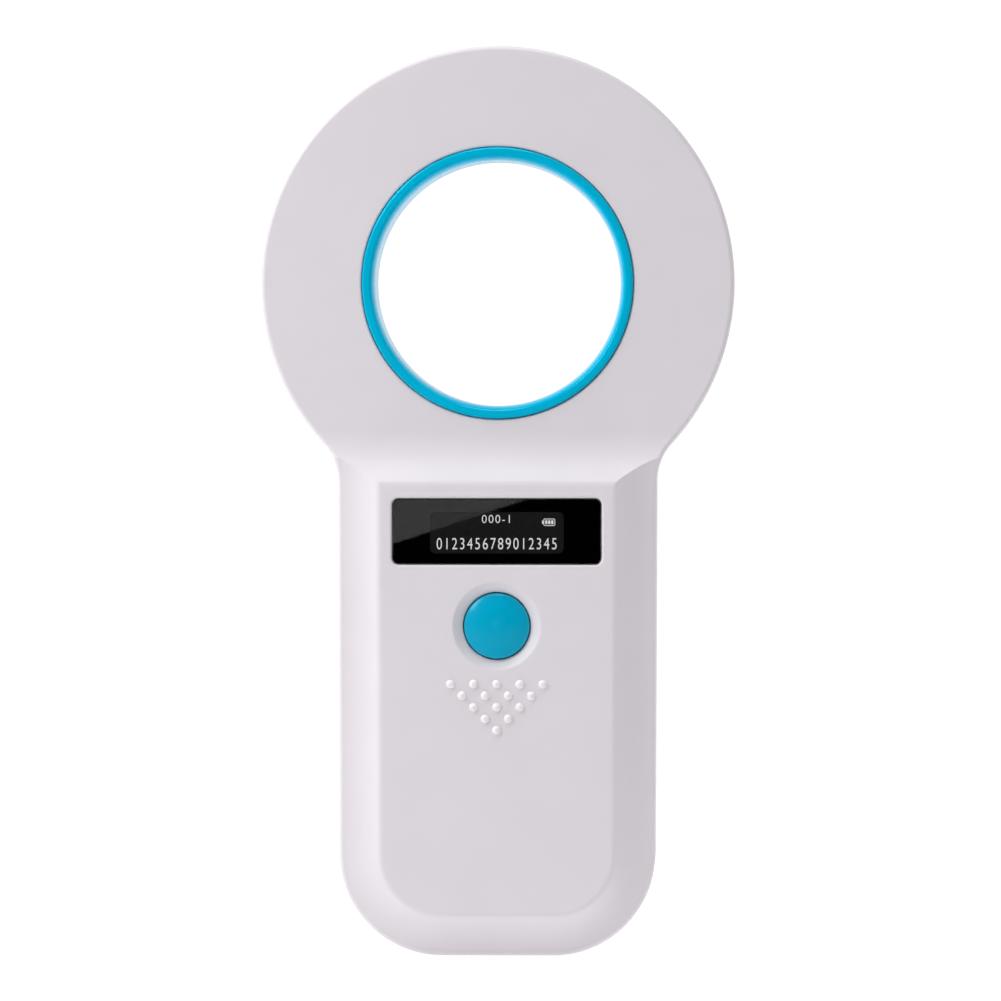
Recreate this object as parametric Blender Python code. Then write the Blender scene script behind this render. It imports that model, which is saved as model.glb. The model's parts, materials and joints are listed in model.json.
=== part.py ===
"""Handheld microchip scanner: a round antenna head on a flat handle, standing upright.

The frame has its origin under the middle of the flat bottom end, +X to the user's right,
+Z up to the head, and -Y out of the face with the display and the button.
Every length below is in millimetres; new_object() turns them into metres.
"""

import math
from collections import namedtuple

import bmesh
import bpy
from mathutils import Matrix, Vector
from mathutils.geometry import interpolate_bezier

MM = 0.001
GAP = 0.3  # clearance between pieces that meet
PARTING = GAP / 2  # each housing stops this far from the parting plane, y = 0

# Outline, seen from the front
HEAD_R = 43.0
HEAD_Z = 122.0
HALF_WIDTH_TOP = 28.95  # handle, just under the neck
HALF_WIDTH_BOTTOM = 28.65
CORNER_R = 18.5
FLARE_R = 10.0  # concave fillet from handle to head
FLARE_X = HALF_WIDTH_TOP + FLARE_R
FLARE_DROP = math.sqrt((HEAD_R + FLARE_R) ** 2 - FLARE_X**2)
FLARE_Z = HEAD_Z - FLARE_DROP
FLARE_TURN = math.degrees(math.atan2(FLARE_DROP, FLARE_X))
NECK_TOP = 97.5  # handle blocks run up into the head this far

# Depth
HALF_DEPTH = 14.1  # button crown in front, handle's back face behind
WALL = 2.2
SLIVER = 0.1  # what a cutter stands clear by
INTO_WALL = 1.0  # how far a boss or collar runs into the wall it joins
HEAD_FRONT = -8.5
HEAD_BACK = 6.5
PLATEAU = -13.5  # raised face of the handle
HANDLE_EDGE = -9.75  # front face level at the handle's rim
EDGE_ROUND = 0.9
PLATEAU_INSET = 7.45  # plateau's edge, in from the outline
PLATEAU_ROUND = 0.4
SIDE_COVE_SAG = 0.45
BACK_SIDE = 7.2  # the rear handle's side wall ends and its rounding starts
BACK_ROUND_WIDTH = 6.5
BACK_RIM_ROUND = 2.0
BACK_HOLLOW_START = -2.0
BACK_HOLLOW_BEND = (1.6, 3.2)  # in from the wall, back from the side's end
SIDE_TOP = 80.0  # the handle's sides run straight up to here
NECK_FRONT = (86.0, 95.4)  # z where the front neck cove leaves the plateau and meets the head
NECK_BACK = (82.0, 97.0)

# Rim joint
LIP_OUT = 1.3
LIP_HIGH = 1.4
REBATE_OUT = 1.1
REBATE_IN = WALL + 0.15
REBATE_DEEP = LIP_HIGH + GAP

# Hole through the head
HOLE_R = 22.3
SLEEVE_R = 23.6
FLANGE_R = 24.6
FLANGE_BACK = -7.1
FLANGE_SEAT = -7.0
RING_PROUD = 0.4
RING_EASE = (0.3, 0.25)  # at the flange's rim, in and back
RING_LIP = ((1.1, -0.1), (0.5, 0.6), (0.15, 1.8), (0.0, 3.2))  # the hole's rounded mouth: out and back
RING_END_EASE = 0.4
RING_FIT = 0.2
COLLAR_R = 25.8

# Display
LENS_SIZE = (37.7, 11.8)
LENS_Z = 77.0
LENS_RADIUS = 1.1
LENS_FIT = 0.15
POCKET_DEEP = 1.45
LENS_SPAN = (-13.35, -12.45)
GASKET_SPAN = (-12.4, -12.1)
GASKET_INSET = 0.1
WINDOW_SIZE = (26.4, 9.2)
WINDOW_RADIUS = 0.8
OLED_SIZE = (30.0, 11.5)
OLED_SPAN = (-11.1, -9.65)
FOAM_SIZE = (26.0, 9.0)
FLEX_WIDTH = 12.0
FLEX_THICK = 0.2
FLEX_BEND = 1.0  # length of the tail's straight leads into its fold
FLEX_END_GAP = 0.7
FLEX_END_Z = 69.4

# Scan button and the switch under it
BUTTON_Z = 59.9
BUTTON_R = 5.95
BUTTON_FIT = 0.2
CROWN = ((0.1, 0.01), (0.4, 0.22), (0.69, 0.66), (0.88, 1.11), (0.97, 1.45), (1.0, 1.85))  # share of R, drop
DISH_R = 8.0
DISH_DEEP = 1.25
DISH_BREAK = (0.9, 0.55)  # the bowl's bend: in from its rim, share of its depth
BUTTON_FLANGE_R = 7.2
BUTTON_FLANGE = (-11.0, -10.3)
BUTTON_CUP_R = 4.9
BUTTON_CUP_FLOOR = -12.4
STEM_R = 1.5
STEM_END = -11.65
SWITCH_SIDE = 6.0
SWITCH_RADIUS = 0.6
SWITCH_TOP = -10.0
COVER_SPAN = (-10.4, -10.1)
PLUNGER_R = 1.75
PLUNGER_SPAN = (-11.3, -9.2)
PLUNGER_FIT = 0.2
PLUNGER_WELL = -8.7

# Grip dots
DOT_ROWS = 5
DOT_PITCH_X = 4.18
DOT_PITCH_Z = 2.08
DOT_TOP_Z = 49.4
DOT_R = 0.78
DOT_HIGH = 0.55
DOT_SHAPE = ((0.72, 0.7), (0.2, 1.0))  # share of radius, share of height
DOT_SEGMENTS = 8

# Main board and what is on it
BOARD_SPAN = (-7.0, -5.4)
BOARD_HALF_WIDTH = 18.5
BOARD_Z = (3.0, 87.5)
BOARD_CORNER = 8.0
BOARD_TOP_CORNER = 2.0
ON_BOARD = 0.1  # solder gap under a component
BOARD_SCREWS = ((-15.3, 15.5), (15.3, 15.5), (-15.3, 66.0), (15.3, 66.0))
POST_R = 2.3
USB_SIZE = (7.5, 5.2, 2.6)  # x, z, y
USB_Z = 3.8
USB_Y = -3.95
USB_CUT = (8.7, 3.3)
USB_CUT_DEEP = 3.0
USB_WALL = 0.4
USB_TONGUE = (4.6, 0.6, 3.6)  # x, y, z
BUZZER_R = 4.5
BUZZER_HIGH = 3.0
BUZZER_PLACE = (-9.0, 22.0)
BUZZER_HOLE_R = 0.9
CAPACITOR_R = 2.5
CAPACITOR_HIGH = 5.5
CAPACITOR_PLACE = (-11.0, 74.0)
CAPACITOR_CRIMP = 0.2
# name, material, (x, z), (width, height above the board, length), in front of the board, corner radius
COMPONENTS = (
    ("oled_connector", "plastic_cream", (0.0, 68.2), (13.5, 1.2, 1.8), True, 0.3),
    ("mcu_chip", "chip_black", (-7.0, 38.0), (10.0, 1.4, 10.0), True, 0.3),
    ("memory_chip", "chip_black", (8.0, 41.0), (5.3, 1.6, 5.3), True, 0.3),
    ("reader_chip", "chip_black", (7.5, 20.0), (7.5, 2.2, 10.3), True, 0.3),
    ("crystal", "steel", (8.0, 31.5), (11.0, 3.4, 4.4), True, 2.0),
    ("charger_chip", "chip_black", (-10.0, 15.0), (5.0, 1.5, 4.0), False, 0.3),
    ("inductor", "chip_black", (10.0, 15.0), (6.0, 2.8, 6.0), False, 1.2),
    ("tuning_capacitor_1", "film_red", (-10.0, 83.5), (7.2, 6.0, 2.5), False, 0.3),
    ("tuning_capacitor_2", "film_red", (10.0, 83.5), (7.2, 6.0, 2.5), False, 0.3),
)

# Battery
CELL_SIZE = (34.0, 50.0)
CELL_SPAN = (5.8, 10.9)
CELL_Z = 39.0
CELL_RADIUS = 1.5
CELL_RIB = (1.4, 6.0, 40.0)  # x, y, z
CELL_RIB_GAP = 0.5
CELL_RIB_Y = 9.5
PAD_SPAN = (11.0, 11.75)
PAD_MARGIN = (3.0, 4.0)
GUARD_SIZE = (30.0, 1.0, 3.4)  # x, y, z
GUARD_ABOVE_CELL = 2.0
GUARD_Y = 8.3
SOCKET_Z = 74.0
SOCKET_SIZE = (8.0, 4.4, 5.4)  # x, y, z
SOCKET_WALL = 0.7
SOCKET_FLOOR = 1.2
PLUG_SIZE = (6.2, 5.0, 3.6)
PLUG_Y = -1.35
LEAD_R = 0.6
LEAD_ROUTE = (  # distance either side of the middle, y, z
    (1.1, 1.4, 74.0),
    (1.1, 2.8, 73.8),
    (1.6, 5.0, 73.0),
    (2.6, 7.2, 71.4),
    (3.6, 8.2, 69.4),
    (4.0, 8.3, 68.0),
)

# Antenna coil
COIL_R = (28.3, 33.3)
COIL_SPAN = (-3.0, 3.0)
COIL_SOFT = 0.8  # chamfer of the winding's corners
COIL_LEAD_R = 0.35
COIL_LEAD_ROUTE = (
    (2.5, -1.0, 88.4),
    (2.5, -1.2, 87.0),
    (2.5, -2.6, 84.8),
    (2.5, -4.3, 83.0),
    (2.5, -5.0, 81.4),
)
TAPE_THICK = 0.3
TAPE_FIT = 0.15
TAPE_TURN = 12.0
TAPE_ANGLES = (45.0, 135.0, 225.0, 315.0)
RIB_ANGLES = tuple(22.5 + 45.0 * k for k in range(8))
RIB_HALF = 0.8
RIB_PAST_COIL = 1.3
RIB_GAP = 0.5
RIB_IN_WALL = 1.2

# Fasteners
SCREW_X = 24.0
SCREW_ROWS = (22.0, 77.0)
HEAD_SCREW_R = 37.8
HEAD_SCREW_OFFSET = HEAD_SCREW_R * math.sin(math.radians(45.0))
HOUSING_SCREWS = (
    (-SCREW_X, SCREW_ROWS[0]),
    (SCREW_X, SCREW_ROWS[0]),
    (-SCREW_X, SCREW_ROWS[1]),
    (SCREW_X, SCREW_ROWS[1]),
    (-HEAD_SCREW_OFFSET, HEAD_Z + HEAD_SCREW_OFFSET),
    (HEAD_SCREW_OFFSET, HEAD_Z + HEAD_SCREW_OFFSET),
)
BOSS_R = 3.1
REAR_BOSS_R = 3.4
REAR_BOSS_END = 11.3  # inside the rounded back wall
PILOT_R = 1.2
PILOT_END = -5.2
CLEARANCE_R = 1.3
COUNTERBORE_R = 2.5
SCREW_SEAT = 4.0
SCREW_HEAD_R = 2.1
SCREW_HEAD_HIGH = 1.5
SCREW_SHANK_R = 1.0
SCREW_TIP = 0.8
CROSS_ARM = 1.25
CROSS_HALF = 0.25
CROSS_DEEP = 0.8
HOUSING_SCREW_LONG = 8.5
BOARD_SCREW_LONG = 5.0

# Blank label on the back
LABEL_SIZE = (34.0, 42.0)
LABEL_Z = 44.0
LABEL_THICK = 0.3
LABEL_RADIUS = 1.8
LABEL_RECESS = 0.5

# Cutters
PAST = 1.0  # a cutter runs this far past what it cuts
FAR = 20.0  # well outside the body, in front or behind

# Facets
CORNER_STEPS = 7
FLARE_STEPS = 5
SIDE_STEPS = 4
NECK_STEPS = 6
COVE_STEPS = 4
RIM_STEPS = 3
BACK_STEPS = 4
RIM_ARC_STEPS = 18
HEAD_SEGMENTS = 56
HOLE_SEGMENTS = 48
ROUND_SEGMENTS = 32
SCREW_HOLE_SEGMENTS = 16
SMALL_SEGMENTS = 12
SHARP_ANGLE = 35.0

MATERIALS = {
    "shell_white": ((0.72, 0.69, 0.71), 0.45, 0.0),
    "trim_blue": ((0.01, 0.37, 0.57), 0.35, 0.0),
    "lens_black": ((0.01, 0.01, 0.01), 0.08, 0.0),
    "gasket_black": ((0.02, 0.02, 0.02), 0.8, 0.0),
    "oled_glass": ((0.03, 0.03, 0.035), 0.1, 0.0),
    "flex_amber": ((0.45, 0.22, 0.04), 0.4, 0.0),
    "board_green": ((0.02, 0.16, 0.07), 0.45, 0.0),
    "chip_black": ((0.025, 0.025, 0.027), 0.5, 0.0),
    "steel": ((0.62, 0.62, 0.63), 0.3, 1.0),
    "copper": ((0.72, 0.32, 0.14), 0.35, 1.0),
    "tape_amber": ((0.65, 0.36, 0.05), 0.35, 0.0),
    "cell_foil": ((0.66, 0.67, 0.69), 0.35, 1.0),
    "foam_white": ((0.8, 0.8, 0.78), 0.9, 0.0),
    "plastic_cream": ((0.8, 0.76, 0.66), 0.5, 0.0),
    "wire_red": ((0.6, 0.02, 0.02), 0.5, 0.0),
    "wire_black": ((0.02, 0.02, 0.02), 0.5, 0.0),
    "film_red": ((0.45, 0.06, 0.03), 0.4, 0.0),
    "label_grey": ((0.75, 0.76, 0.78), 0.5, 0.0),
}


# ---------------------------------------------------------------- helpers


def clear_scene():
    for obj in list(bpy.data.objects):
        bpy.data.objects.remove(obj, do_unlink=True)


def material(name):
    found = bpy.data.materials.get(name)
    if found:
        return found
    colour, roughness, metallic = MATERIALS[name]
    made = bpy.data.materials.new(name)
    made.use_nodes = True
    shader = made.node_tree.nodes["Principled BSDF"]
    shader.inputs["Base Color"].default_value = (*colour, 1.0)
    shader.inputs["Roughness"].default_value = roughness
    shader.inputs["Metallic"].default_value = metallic
    return made


def new_object(name, bm, finish, origin=(0.0, 0.0, 0.0)):
    """Makes an object from a bmesh in millimetres, with its origin at the given point."""
    bmesh.ops.translate(bm, verts=bm.verts, vec=-Vector(origin))
    bmesh.ops.scale(bm, verts=bm.verts, vec=(MM, MM, MM))
    bmesh.ops.recalc_face_normals(bm, faces=bm.faces)
    mesh = bpy.data.meshes.new(name)
    bm.to_mesh(mesh)
    bm.free()
    mesh.shade_smooth()
    mesh.set_sharp_from_angle(angle=math.radians(SHARP_ANGLE))
    obj = bpy.data.objects.new(name, mesh)
    obj.location = Vector(origin) * MM
    bpy.context.collection.objects.link(obj)
    if finish:
        mesh.materials.append(material(finish))
    return obj


def tool(name, bm):
    """A hidden shape that a Boolean uses."""
    obj = new_object(name, bm, None)
    obj.hide_render = True
    obj.display_type = "WIRE"
    return obj


def boolean(target, operation, operand):
    modifier = target.modifiers.new(operand.name, "BOOLEAN")
    modifier.operation = operation
    modifier.solver = "EXACT"
    modifier.object = operand
    return target


def cut(target, *tools):
    for operand in tools:
        boolean(target, "DIFFERENCE", operand)
    return target


def join(target, *tools):
    for operand in tools:
        boolean(target, "UNION", operand)
    return target


def arc(centre, radius, start, end, steps):
    """Points on an arc in the plane, angles in degrees, both ends included."""
    points = []
    for k in range(steps + 1):
        angle = math.radians(start + (end - start) * k / steps)
        points.append((centre[0] + radius * math.cos(angle), centre[1] + radius * math.sin(angle)))
    return points


def sagged(start, end, sag, steps):
    """Points on a shallow arc between two points, bowed to the left of its direction by sag."""
    along = Vector(end) - Vector(start)
    left = Vector((-along.y, along.x)).normalized()
    points = []
    for k in range(steps + 1):
        t = k / steps
        points.append(tuple(Vector(start) + along * t + left * (4.0 * sag * t * (1.0 - t))))
    return points


def skin(bm, one, two):
    """Faces between two closed rings of vertices."""
    count = len(one)
    for i in range(count):
        j = (i + 1) % count
        bm.faces.new((one[i], one[j], two[j], two[i]))


def loft(bm, rings, closed=False):
    """Skins rings of equal point counts; closed joins the last ring to the first, else both are capped."""
    made = [[bm.verts.new(point) for point in ring] for ring in rings]
    pairs = list(zip(made, made[1:]))
    if closed:
        pairs.append((made[-1], made[0]))
    for one, two in pairs:
        skin(bm, one, two)
    if not closed:
        bm.faces.new(made[0])
        bm.faces.new(reversed(made[-1]))
    return bm


def flat_ring(outline, y):
    """An (x, z) outline laid in the plane at y."""
    return [(x, y, z) for x, z in outline]


def prism(outline, y_low, y_high, bm=None):
    return loft(bm or bmesh.new(), [flat_ring(outline, y_low), flat_ring(outline, y_high)])


def circle(centre, radius, segments):
    return arc(centre, radius, 0.0, 360.0 * (segments - 1) / segments, segments - 1)


def turned(profile, centre=(0.0, 0.0), segments=ROUND_SEGMENTS, closed=False, bm=None):
    """A solid turned about a Y axis through (x, z) centre; the profile is (radius, y) points."""
    rings = [flat_ring(circle(centre, radius, segments), y) for radius, y in profile]
    return loft(bm or bmesh.new(), rings, closed)


def cylinder(centre, radius, y_low, y_high, segments=SMALL_SEGMENTS, bm=None):
    return turned([(radius, y_low), (radius, y_high)], centre, segments, bm=bm)


def rounded_rect(width, height, radius, centre=(0.0, 0.0), steps=4):
    points = []
    corners = ((1, -1, -90.0), (1, 1, 0.0), (-1, 1, 90.0), (-1, -1, 180.0))
    for side, end, start in corners:
        x = centre[0] + side * (width / 2 - radius)
        z = centre[1] + end * (height / 2 - radius)
        points += arc((x, z), radius, start, start + 90.0, steps)
    return points


def block_mesh(centre, size, radius=0.3, bm=None):
    """A box with its upright edges rounded: centre and size as (x, y, z)."""
    x, y, z = centre
    width, deep, high = size
    outline = rounded_rect(width, high, radius, (x, z), steps=2)
    return prism(outline, y - deep / 2, y + deep / 2, bm)


def chip(name, finish, place, size, front, radius):
    """A component standing on the board's front or back; size is (width, height above board, length)."""
    base = BOARD_SPAN[0] - ON_BOARD if front else BOARD_SPAN[1] + ON_BOARD
    middle = base - size[1] / 2 if front else base + size[1] / 2
    return new_object(name, block_mesh((place[0], middle, place[1]), size, radius), finish)


def extruded_x(outline, half_width):
    """A (z, y) outline drawn out along X to both sides."""
    rings = [[(x, y, z) for z, y in outline] for x in (-half_width, half_width)]
    return loft(bmesh.new(), rings)


def wire(name, points, radius, finish):
    """A round wire along a smooth curve through the given points, in millimetres."""
    route = []
    for before, start, end, after in zip([points[0]] + points, points, points[1:], points[2:] + [points[-1]]):
        start, end = Vector(start), Vector(end)
        handle_a = start + (end - Vector(before)) / 6.0
        handle_b = end - (Vector(after) - start) / 6.0
        route += interpolate_bezier(start, handle_a, handle_b, end, 4)[:-1]
    route.append(Vector(points[-1]))
    curve = bpy.data.curves.new(name, "CURVE")
    curve.dimensions = "3D"
    curve.bevel_depth = radius * MM
    curve.bevel_resolution = 2
    curve.use_fill_caps = True
    spline = curve.splines.new("POLY")
    spline.points.add(len(route) - 1)
    for point, place in zip(spline.points, route):
        point.co = (*(place * MM), 1.0)
    curve.materials.append(material(finish))
    obj = bpy.data.objects.new(name, curve)
    bpy.context.collection.objects.link(obj)
    return obj


# ---------------------------------------------------------------- outlines


def mirrored(half):
    """A whole outline from its right half, listed from the bottom up."""
    left = [(-x, z) for x, z in reversed(half)]
    return half + left


def lower_half(inset):
    """Right side of the handle, from the flat bottom end up to the head's circle."""
    corner = (HALF_WIDTH_BOTTOM - CORNER_R, CORNER_R)
    points = arc(corner, CORNER_R - inset, -90.0, 0.0, CORNER_STEPS)
    return points + arc((FLARE_X, FLARE_Z), FLARE_R + inset, 180.0, 180.0 - FLARE_TURN, FLARE_STEPS)


def handle_outline(inset):
    """The handle with its flared neck, squared off inside the head."""
    half = lower_half(inset)
    return mirrored(half + [(half[-1][0] - 0.3, NECK_TOP)])


def full_outline(inset):
    """The whole body seen from the front."""
    steps = HEAD_SEGMENTS // 2
    head = arc((0.0, HEAD_Z), HEAD_R - inset, -FLARE_TURN, 90.0, steps)
    return mirrored(lower_half(inset) + head[1:-1])


def handle_block(profile):
    """The handle as a stack of outlines; the profile is (inset, y) points."""
    return loft(bmesh.new(), [flat_ring(handle_outline(inset), y) for inset, y in profile])


# ---------------------------------------------------------------- housings


Side = namedtuple("Side", "out face raised neck rim profile")
# out: -1 in front, 1 behind. face, raised: heights of the head and the handle above the parting plane.
# rim: (inset, handle height, height lost by rounding) from the side wall inwards.
# profile: (inset, height) from the rim's inner edge up to the raised face.


def front_side():
    rim = []
    for k in range(RIM_STEPS + 1):
        turn = math.radians(90.0 * k / RIM_STEPS)
        lost = EDGE_ROUND * (1.0 - math.sin(turn))
        rim.append((EDGE_ROUND * (1.0 - math.cos(turn)), -HANDLE_EDGE - lost, lost))
    foot = (EDGE_ROUND, -HANDLE_EDGE)
    crest = (PLATEAU_INSET - PLATEAU_ROUND / 2, -PLATEAU - PLATEAU_ROUND)
    profile = sagged(foot, crest, -SIDE_COVE_SAG, COVE_STEPS)
    profile.append((PLATEAU_INSET + PLATEAU_ROUND / 2, -PLATEAU))
    return Side(-1, -HEAD_FRONT, -PLATEAU, NECK_FRONT, rim, profile)


def back_height(inset):
    """Height of the rear handle's elliptical rounding."""
    across = 1.0 - inset / BACK_ROUND_WIDTH
    return BACK_SIDE + (HALF_DEPTH - BACK_SIDE) * math.sqrt(max(0.0, 1.0 - across**2))


def back_side():
    rim = []
    for k in range(BACK_STEPS + 1):
        turn = math.radians(90.0 * k / BACK_STEPS)
        inset = BACK_RIM_ROUND * (1.0 - math.cos(turn))
        rim.append((inset, back_height(inset), BACK_RIM_ROUND * (1.0 - math.sin(turn))))
    first = math.degrees(math.acos(1.0 - BACK_RIM_ROUND / BACK_ROUND_WIDTH))
    profile = []
    for k in range(BACK_STEPS + 1):
        turn = math.radians(first + (90.0 - first) * k / BACK_STEPS)
        inset = BACK_ROUND_WIDTH * (1.0 - math.cos(turn))
        profile.append((inset, back_height(inset)))
    return Side(1, HEAD_BACK, HALF_DEPTH, NECK_BACK, rim, profile)


def neck_radius(side):
    rise = side.raised - side.face
    run = side.neck[1] - side.neck[0]
    return (run**2 + rise**2) / (2.0 * rise)


def neck_height(side, z):
    """Height of the concave neck at z: the raised face below it, the head's face above."""
    if z <= side.neck[0]:
        return side.raised
    if z >= side.neck[1]:
        return side.face
    radius = neck_radius(side)
    return side.face + radius - math.sqrt(radius**2 - (side.neck[1] - z) ** 2)


def neck_z(side, height):
    """Where the concave neck has the given height."""
    radius = neck_radius(side)
    return side.neck[1] - math.sqrt(radius**2 - (radius - height + side.face) ** 2)


def neck_room(side):
    """Room that a hollow leaves over the head's face and the concave neck, so that their wall keeps its thickness."""
    radius = neck_radius(side)
    reach = radius + WALL
    first = math.degrees(math.asin((radius - side.raised + side.face + WALL) / reach))
    cove = []
    for z, drop in arc((side.neck[1], 0.0), reach, 180.0 + first, 270.0, 2 * COVE_STEPS):
        cove.append((z, side.out * (side.face + radius + drop)))
    far = side.out * FAR
    under = cove[-1][1] - side.out * GAP
    end = NECK_TOP + PAST
    outline = [(cove[0][0], far), (cove[0][0], side.out * (side.raised - WALL))] + cove[1:]
    outline += [(cove[-1][0] + 0.01, under), (end, under), (end, far)]
    return extruded_x(outline, HEAD_R)


def station_at(z, inset):
    """A place on the right edge, and its inward direction, whose point at that inset lies at z."""
    if z <= FLARE_Z:
        part = (z - CORNER_R) / (FLARE_Z - CORNER_R)
        x = HALF_WIDTH_BOTTOM + (HALF_WIDTH_TOP - HALF_WIDTH_BOTTOM) * part
        return Vector((x, z)), Vector((-1.0, 0.0))
    rise = (z - FLARE_Z) / (FLARE_R + inset)
    if rise < math.sin(math.radians(FLARE_TURN)):
        inward = Vector((-math.sqrt(1.0 - rise**2), rise))
        return Vector((FLARE_X, FLARE_Z)) + inward * FLARE_R, inward
    rise = (z - HEAD_Z) / (HEAD_R - inset)
    inward = Vector((-math.sqrt(1.0 - rise**2), -rise))
    return Vector((0.0, HEAD_Z)) - inward * HEAD_R, inward


def round_stations(centre, radius, start, end, steps):
    """Places on a convex arc of the edge, with their inward directions."""
    places = arc(centre, radius, start, end, steps)
    return [(Vector(place), (Vector(centre) - Vector(place)) / radius) for place in places]


def spaced(low, high, steps):
    return [low + (high - low) * k / steps for k in range(steps + 1)]


def corner_stations():
    corner = (HALF_WIDTH_BOTTOM - CORNER_R, CORNER_R)
    return round_stations(corner, CORNER_R, -90.0, 0.0, CORNER_STEPS)


def handle_loop(side, inset, height):
    """Contour of the handle's raised part at one height, closed across the neck."""
    points = [place + inward * inset for place, inward in corner_stations()]
    for z in spaced(SIDE_TOP, neck_z(side, height), SIDE_STEPS):
        place, inward = station_at(z, inset)
        points.append(place + inward * inset)
    return mirrored([tuple(point) for point in points])


def shell_block(side):
    """One half of the body as a closed solid: side wall, rounded rim, raised handle, coved neck and head."""
    band = side.rim[-1][0]
    crease = neck_z(side, side.profile[0][1])
    head_turn = math.degrees(math.asin((side.neck[1] - HEAD_Z) / (HEAD_R - band)))
    stations = corner_stations()
    stations += [station_at(z, band) for z in spaced(SIDE_TOP, crease, SIDE_STEPS)]
    handle_end = len(stations) - 1
    stations += [station_at(z, band) for z in spaced(crease, side.neck[1], NECK_STEPS)[1:]]
    neck_end = len(stations) - 1
    stations += round_stations((0.0, HEAD_Z), HEAD_R, head_turn, 90.0, RIM_ARC_STEPS)[1:]
    last = 2 * len(stations) - 2
    bm = bmesh.new()

    def outline_ring(inset, height_at):
        points = [place + inward * inset for place, inward in stations]
        points += [Vector((-point.x, point.y)) for point in reversed(points[:-1])]
        return [bm.verts.new((point.x, side.out * height_at(point.y), point.y)) for point in points]

    rings = [outline_ring(0.0, lambda z: PARTING)]
    for inset, handle_height, lost in side.rim:
        rings.append(
            outline_ring(inset, lambda z, high=handle_height, less=lost: min(high, neck_height(side, z) - less))
        )
    bm.faces.new(rings[0])
    for one, two in zip(rings, rings[1:]):
        skin(bm, one, two)
    inner = rings[-1]
    for i in range(handle_end, neck_end):
        bm.faces.new((inner[i], inner[i + 1], inner[last - i - 1], inner[last - i]))
    bm.faces.new(inner[neck_end : last - neck_end + 1])
    loop = inner[: handle_end + 1] + inner[last - handle_end :]
    for inset, height in side.profile[1:]:
        contour = handle_loop(side, inset, height)
        after = [bm.verts.new((x, side.out * height, z)) for x, z in contour]
        skin(bm, loop, after)
        loop = after
    bm.faces.new(loop)
    return bm


def hollow(name, side, profile):
    """The space inside one housing, handle and head in one; the profile is (inset, y) points."""
    space = tool(name, handle_block(profile))
    cut(space, tool(name + "_neck", neck_room(side)))
    start = profile[0][1] - side.out * SLIVER
    head = cylinder((0.0, HEAD_Z), HEAD_R - WALL, start, side.out * (side.face - WALL), HEAD_SEGMENTS)
    return join(space, tool(name + "_head", head))


def front_hollow():
    profile = [
        (WALL, PAST),
        (WALL, HANDLE_EDGE + WALL),
        (PLATEAU_INSET + WALL / 2, PLATEAU + WALL),
    ]
    return hollow("front_hollow", front_side(), profile)


def rim_ring(name, outer, inner, y_low, y_high):
    """A band that follows the whole outline between two insets."""
    rings = [
        flat_ring(full_outline(outer), y_low),
        flat_ring(full_outline(outer), y_high),
        flat_ring(full_outline(inner), y_high),
        flat_ring(full_outline(inner), y_low),
    ]
    return tool(name, loft(bmesh.new(), rings, closed=True))


def boss_start(z):
    """Level inside the front wall where a boss begins."""
    return (HEAD_FRONT if z > NECK_FRONT[1] else HANDLE_EDGE) + INTO_WALL


def front_bosses():
    bm = bmesh.new()
    for x, z in HOUSING_SCREWS:
        cylinder((x, z), BOSS_R, boss_start(z), -GAP, bm=bm)
    for x, z in BOARD_SCREWS:
        cylinder((x, z), POST_R, PLATEAU + INTO_WALL, BOARD_SPAN[0] - ON_BOARD, bm=bm)
    return tool("front_bosses", bm)


def coil_ribs(name, y_low, y_high):
    """Radial ribs that carry the antenna coil."""
    bm = bmesh.new()
    inner = COIL_R[0] - RIB_PAST_COIL
    outer = COIL_R[1] + RIB_PAST_COIL
    outline = [(inner, -RIB_HALF), (outer, -RIB_HALF), (outer, RIB_HALF), (inner, RIB_HALF)]
    for angle in RIB_ANGLES:
        turn = Matrix.Rotation(math.radians(angle), 2)
        placed = [turn @ Vector(point) + Vector((0.0, HEAD_Z)) for point in outline]
        prism([tuple(point) for point in placed], y_low, y_high, bm)
    return tool(name, bm)


def front_openings():
    """Holes and pockets of the front housing."""
    pilots = bmesh.new()
    for x, z in HOUSING_SCREWS:
        cylinder((x, z), PILOT_R, PILOT_END, PAST, bm=pilots)
    for x, z in BOARD_SCREWS:
        cylinder((x, z), PILOT_R, PLATEAU + WALL, BOARD_SPAN[0] + PAST, bm=pilots)
    through = turned(
        [
            (FLANGE_R + RING_FIT, -FAR),
            (FLANGE_R + RING_FIT, FLANGE_SEAT),
            (SLEEVE_R + RING_FIT, FLANGE_SEAT),
            (SLEEVE_R + RING_FIT, HEAD_BACK),
        ],
        (0.0, HEAD_Z),
        HOLE_SEGMENTS,
    )
    pocket = prism(
        rounded_rect(LENS_SIZE[0] + 2 * LENS_FIT, LENS_SIZE[1] + 2 * LENS_FIT, LENS_RADIUS + LENS_FIT, (0.0, LENS_Z)),
        -FAR,
        PLATEAU + POCKET_DEEP,
    )
    past_wall = PLATEAU + WALL + PAST
    window = prism(rounded_rect(*WINDOW_SIZE, WINDOW_RADIUS, (0.0, LENS_Z)), PLATEAU - PAST, past_wall)
    hole_r = BUTTON_R + BUTTON_FIT
    button = turned(
        [
            (DISH_R + GAP, -FAR),
            (DISH_R + GAP, PLATEAU - SLIVER),
            (DISH_R, PLATEAU),
            (DISH_R - DISH_BREAK[0], PLATEAU + DISH_DEEP * DISH_BREAK[1]),
            (hole_r, PLATEAU + DISH_DEEP),
            (hole_r, past_wall),
        ],
        (0.0, BUTTON_Z),
    )
    usb = bmesh.new()
    block_mesh((0.0, USB_Y, 0.5 * (USB_CUT_DEEP - PAST)), (*USB_CUT, USB_CUT_DEEP + PAST), bm=usb)
    return [
        tool("front_pilots", pilots),
        tool("front_hole", through),
        tool("lens_pocket", pocket),
        tool("lens_window", window),
        tool("button_hole", button),
        tool("usb_cut", usb),
    ]


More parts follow.
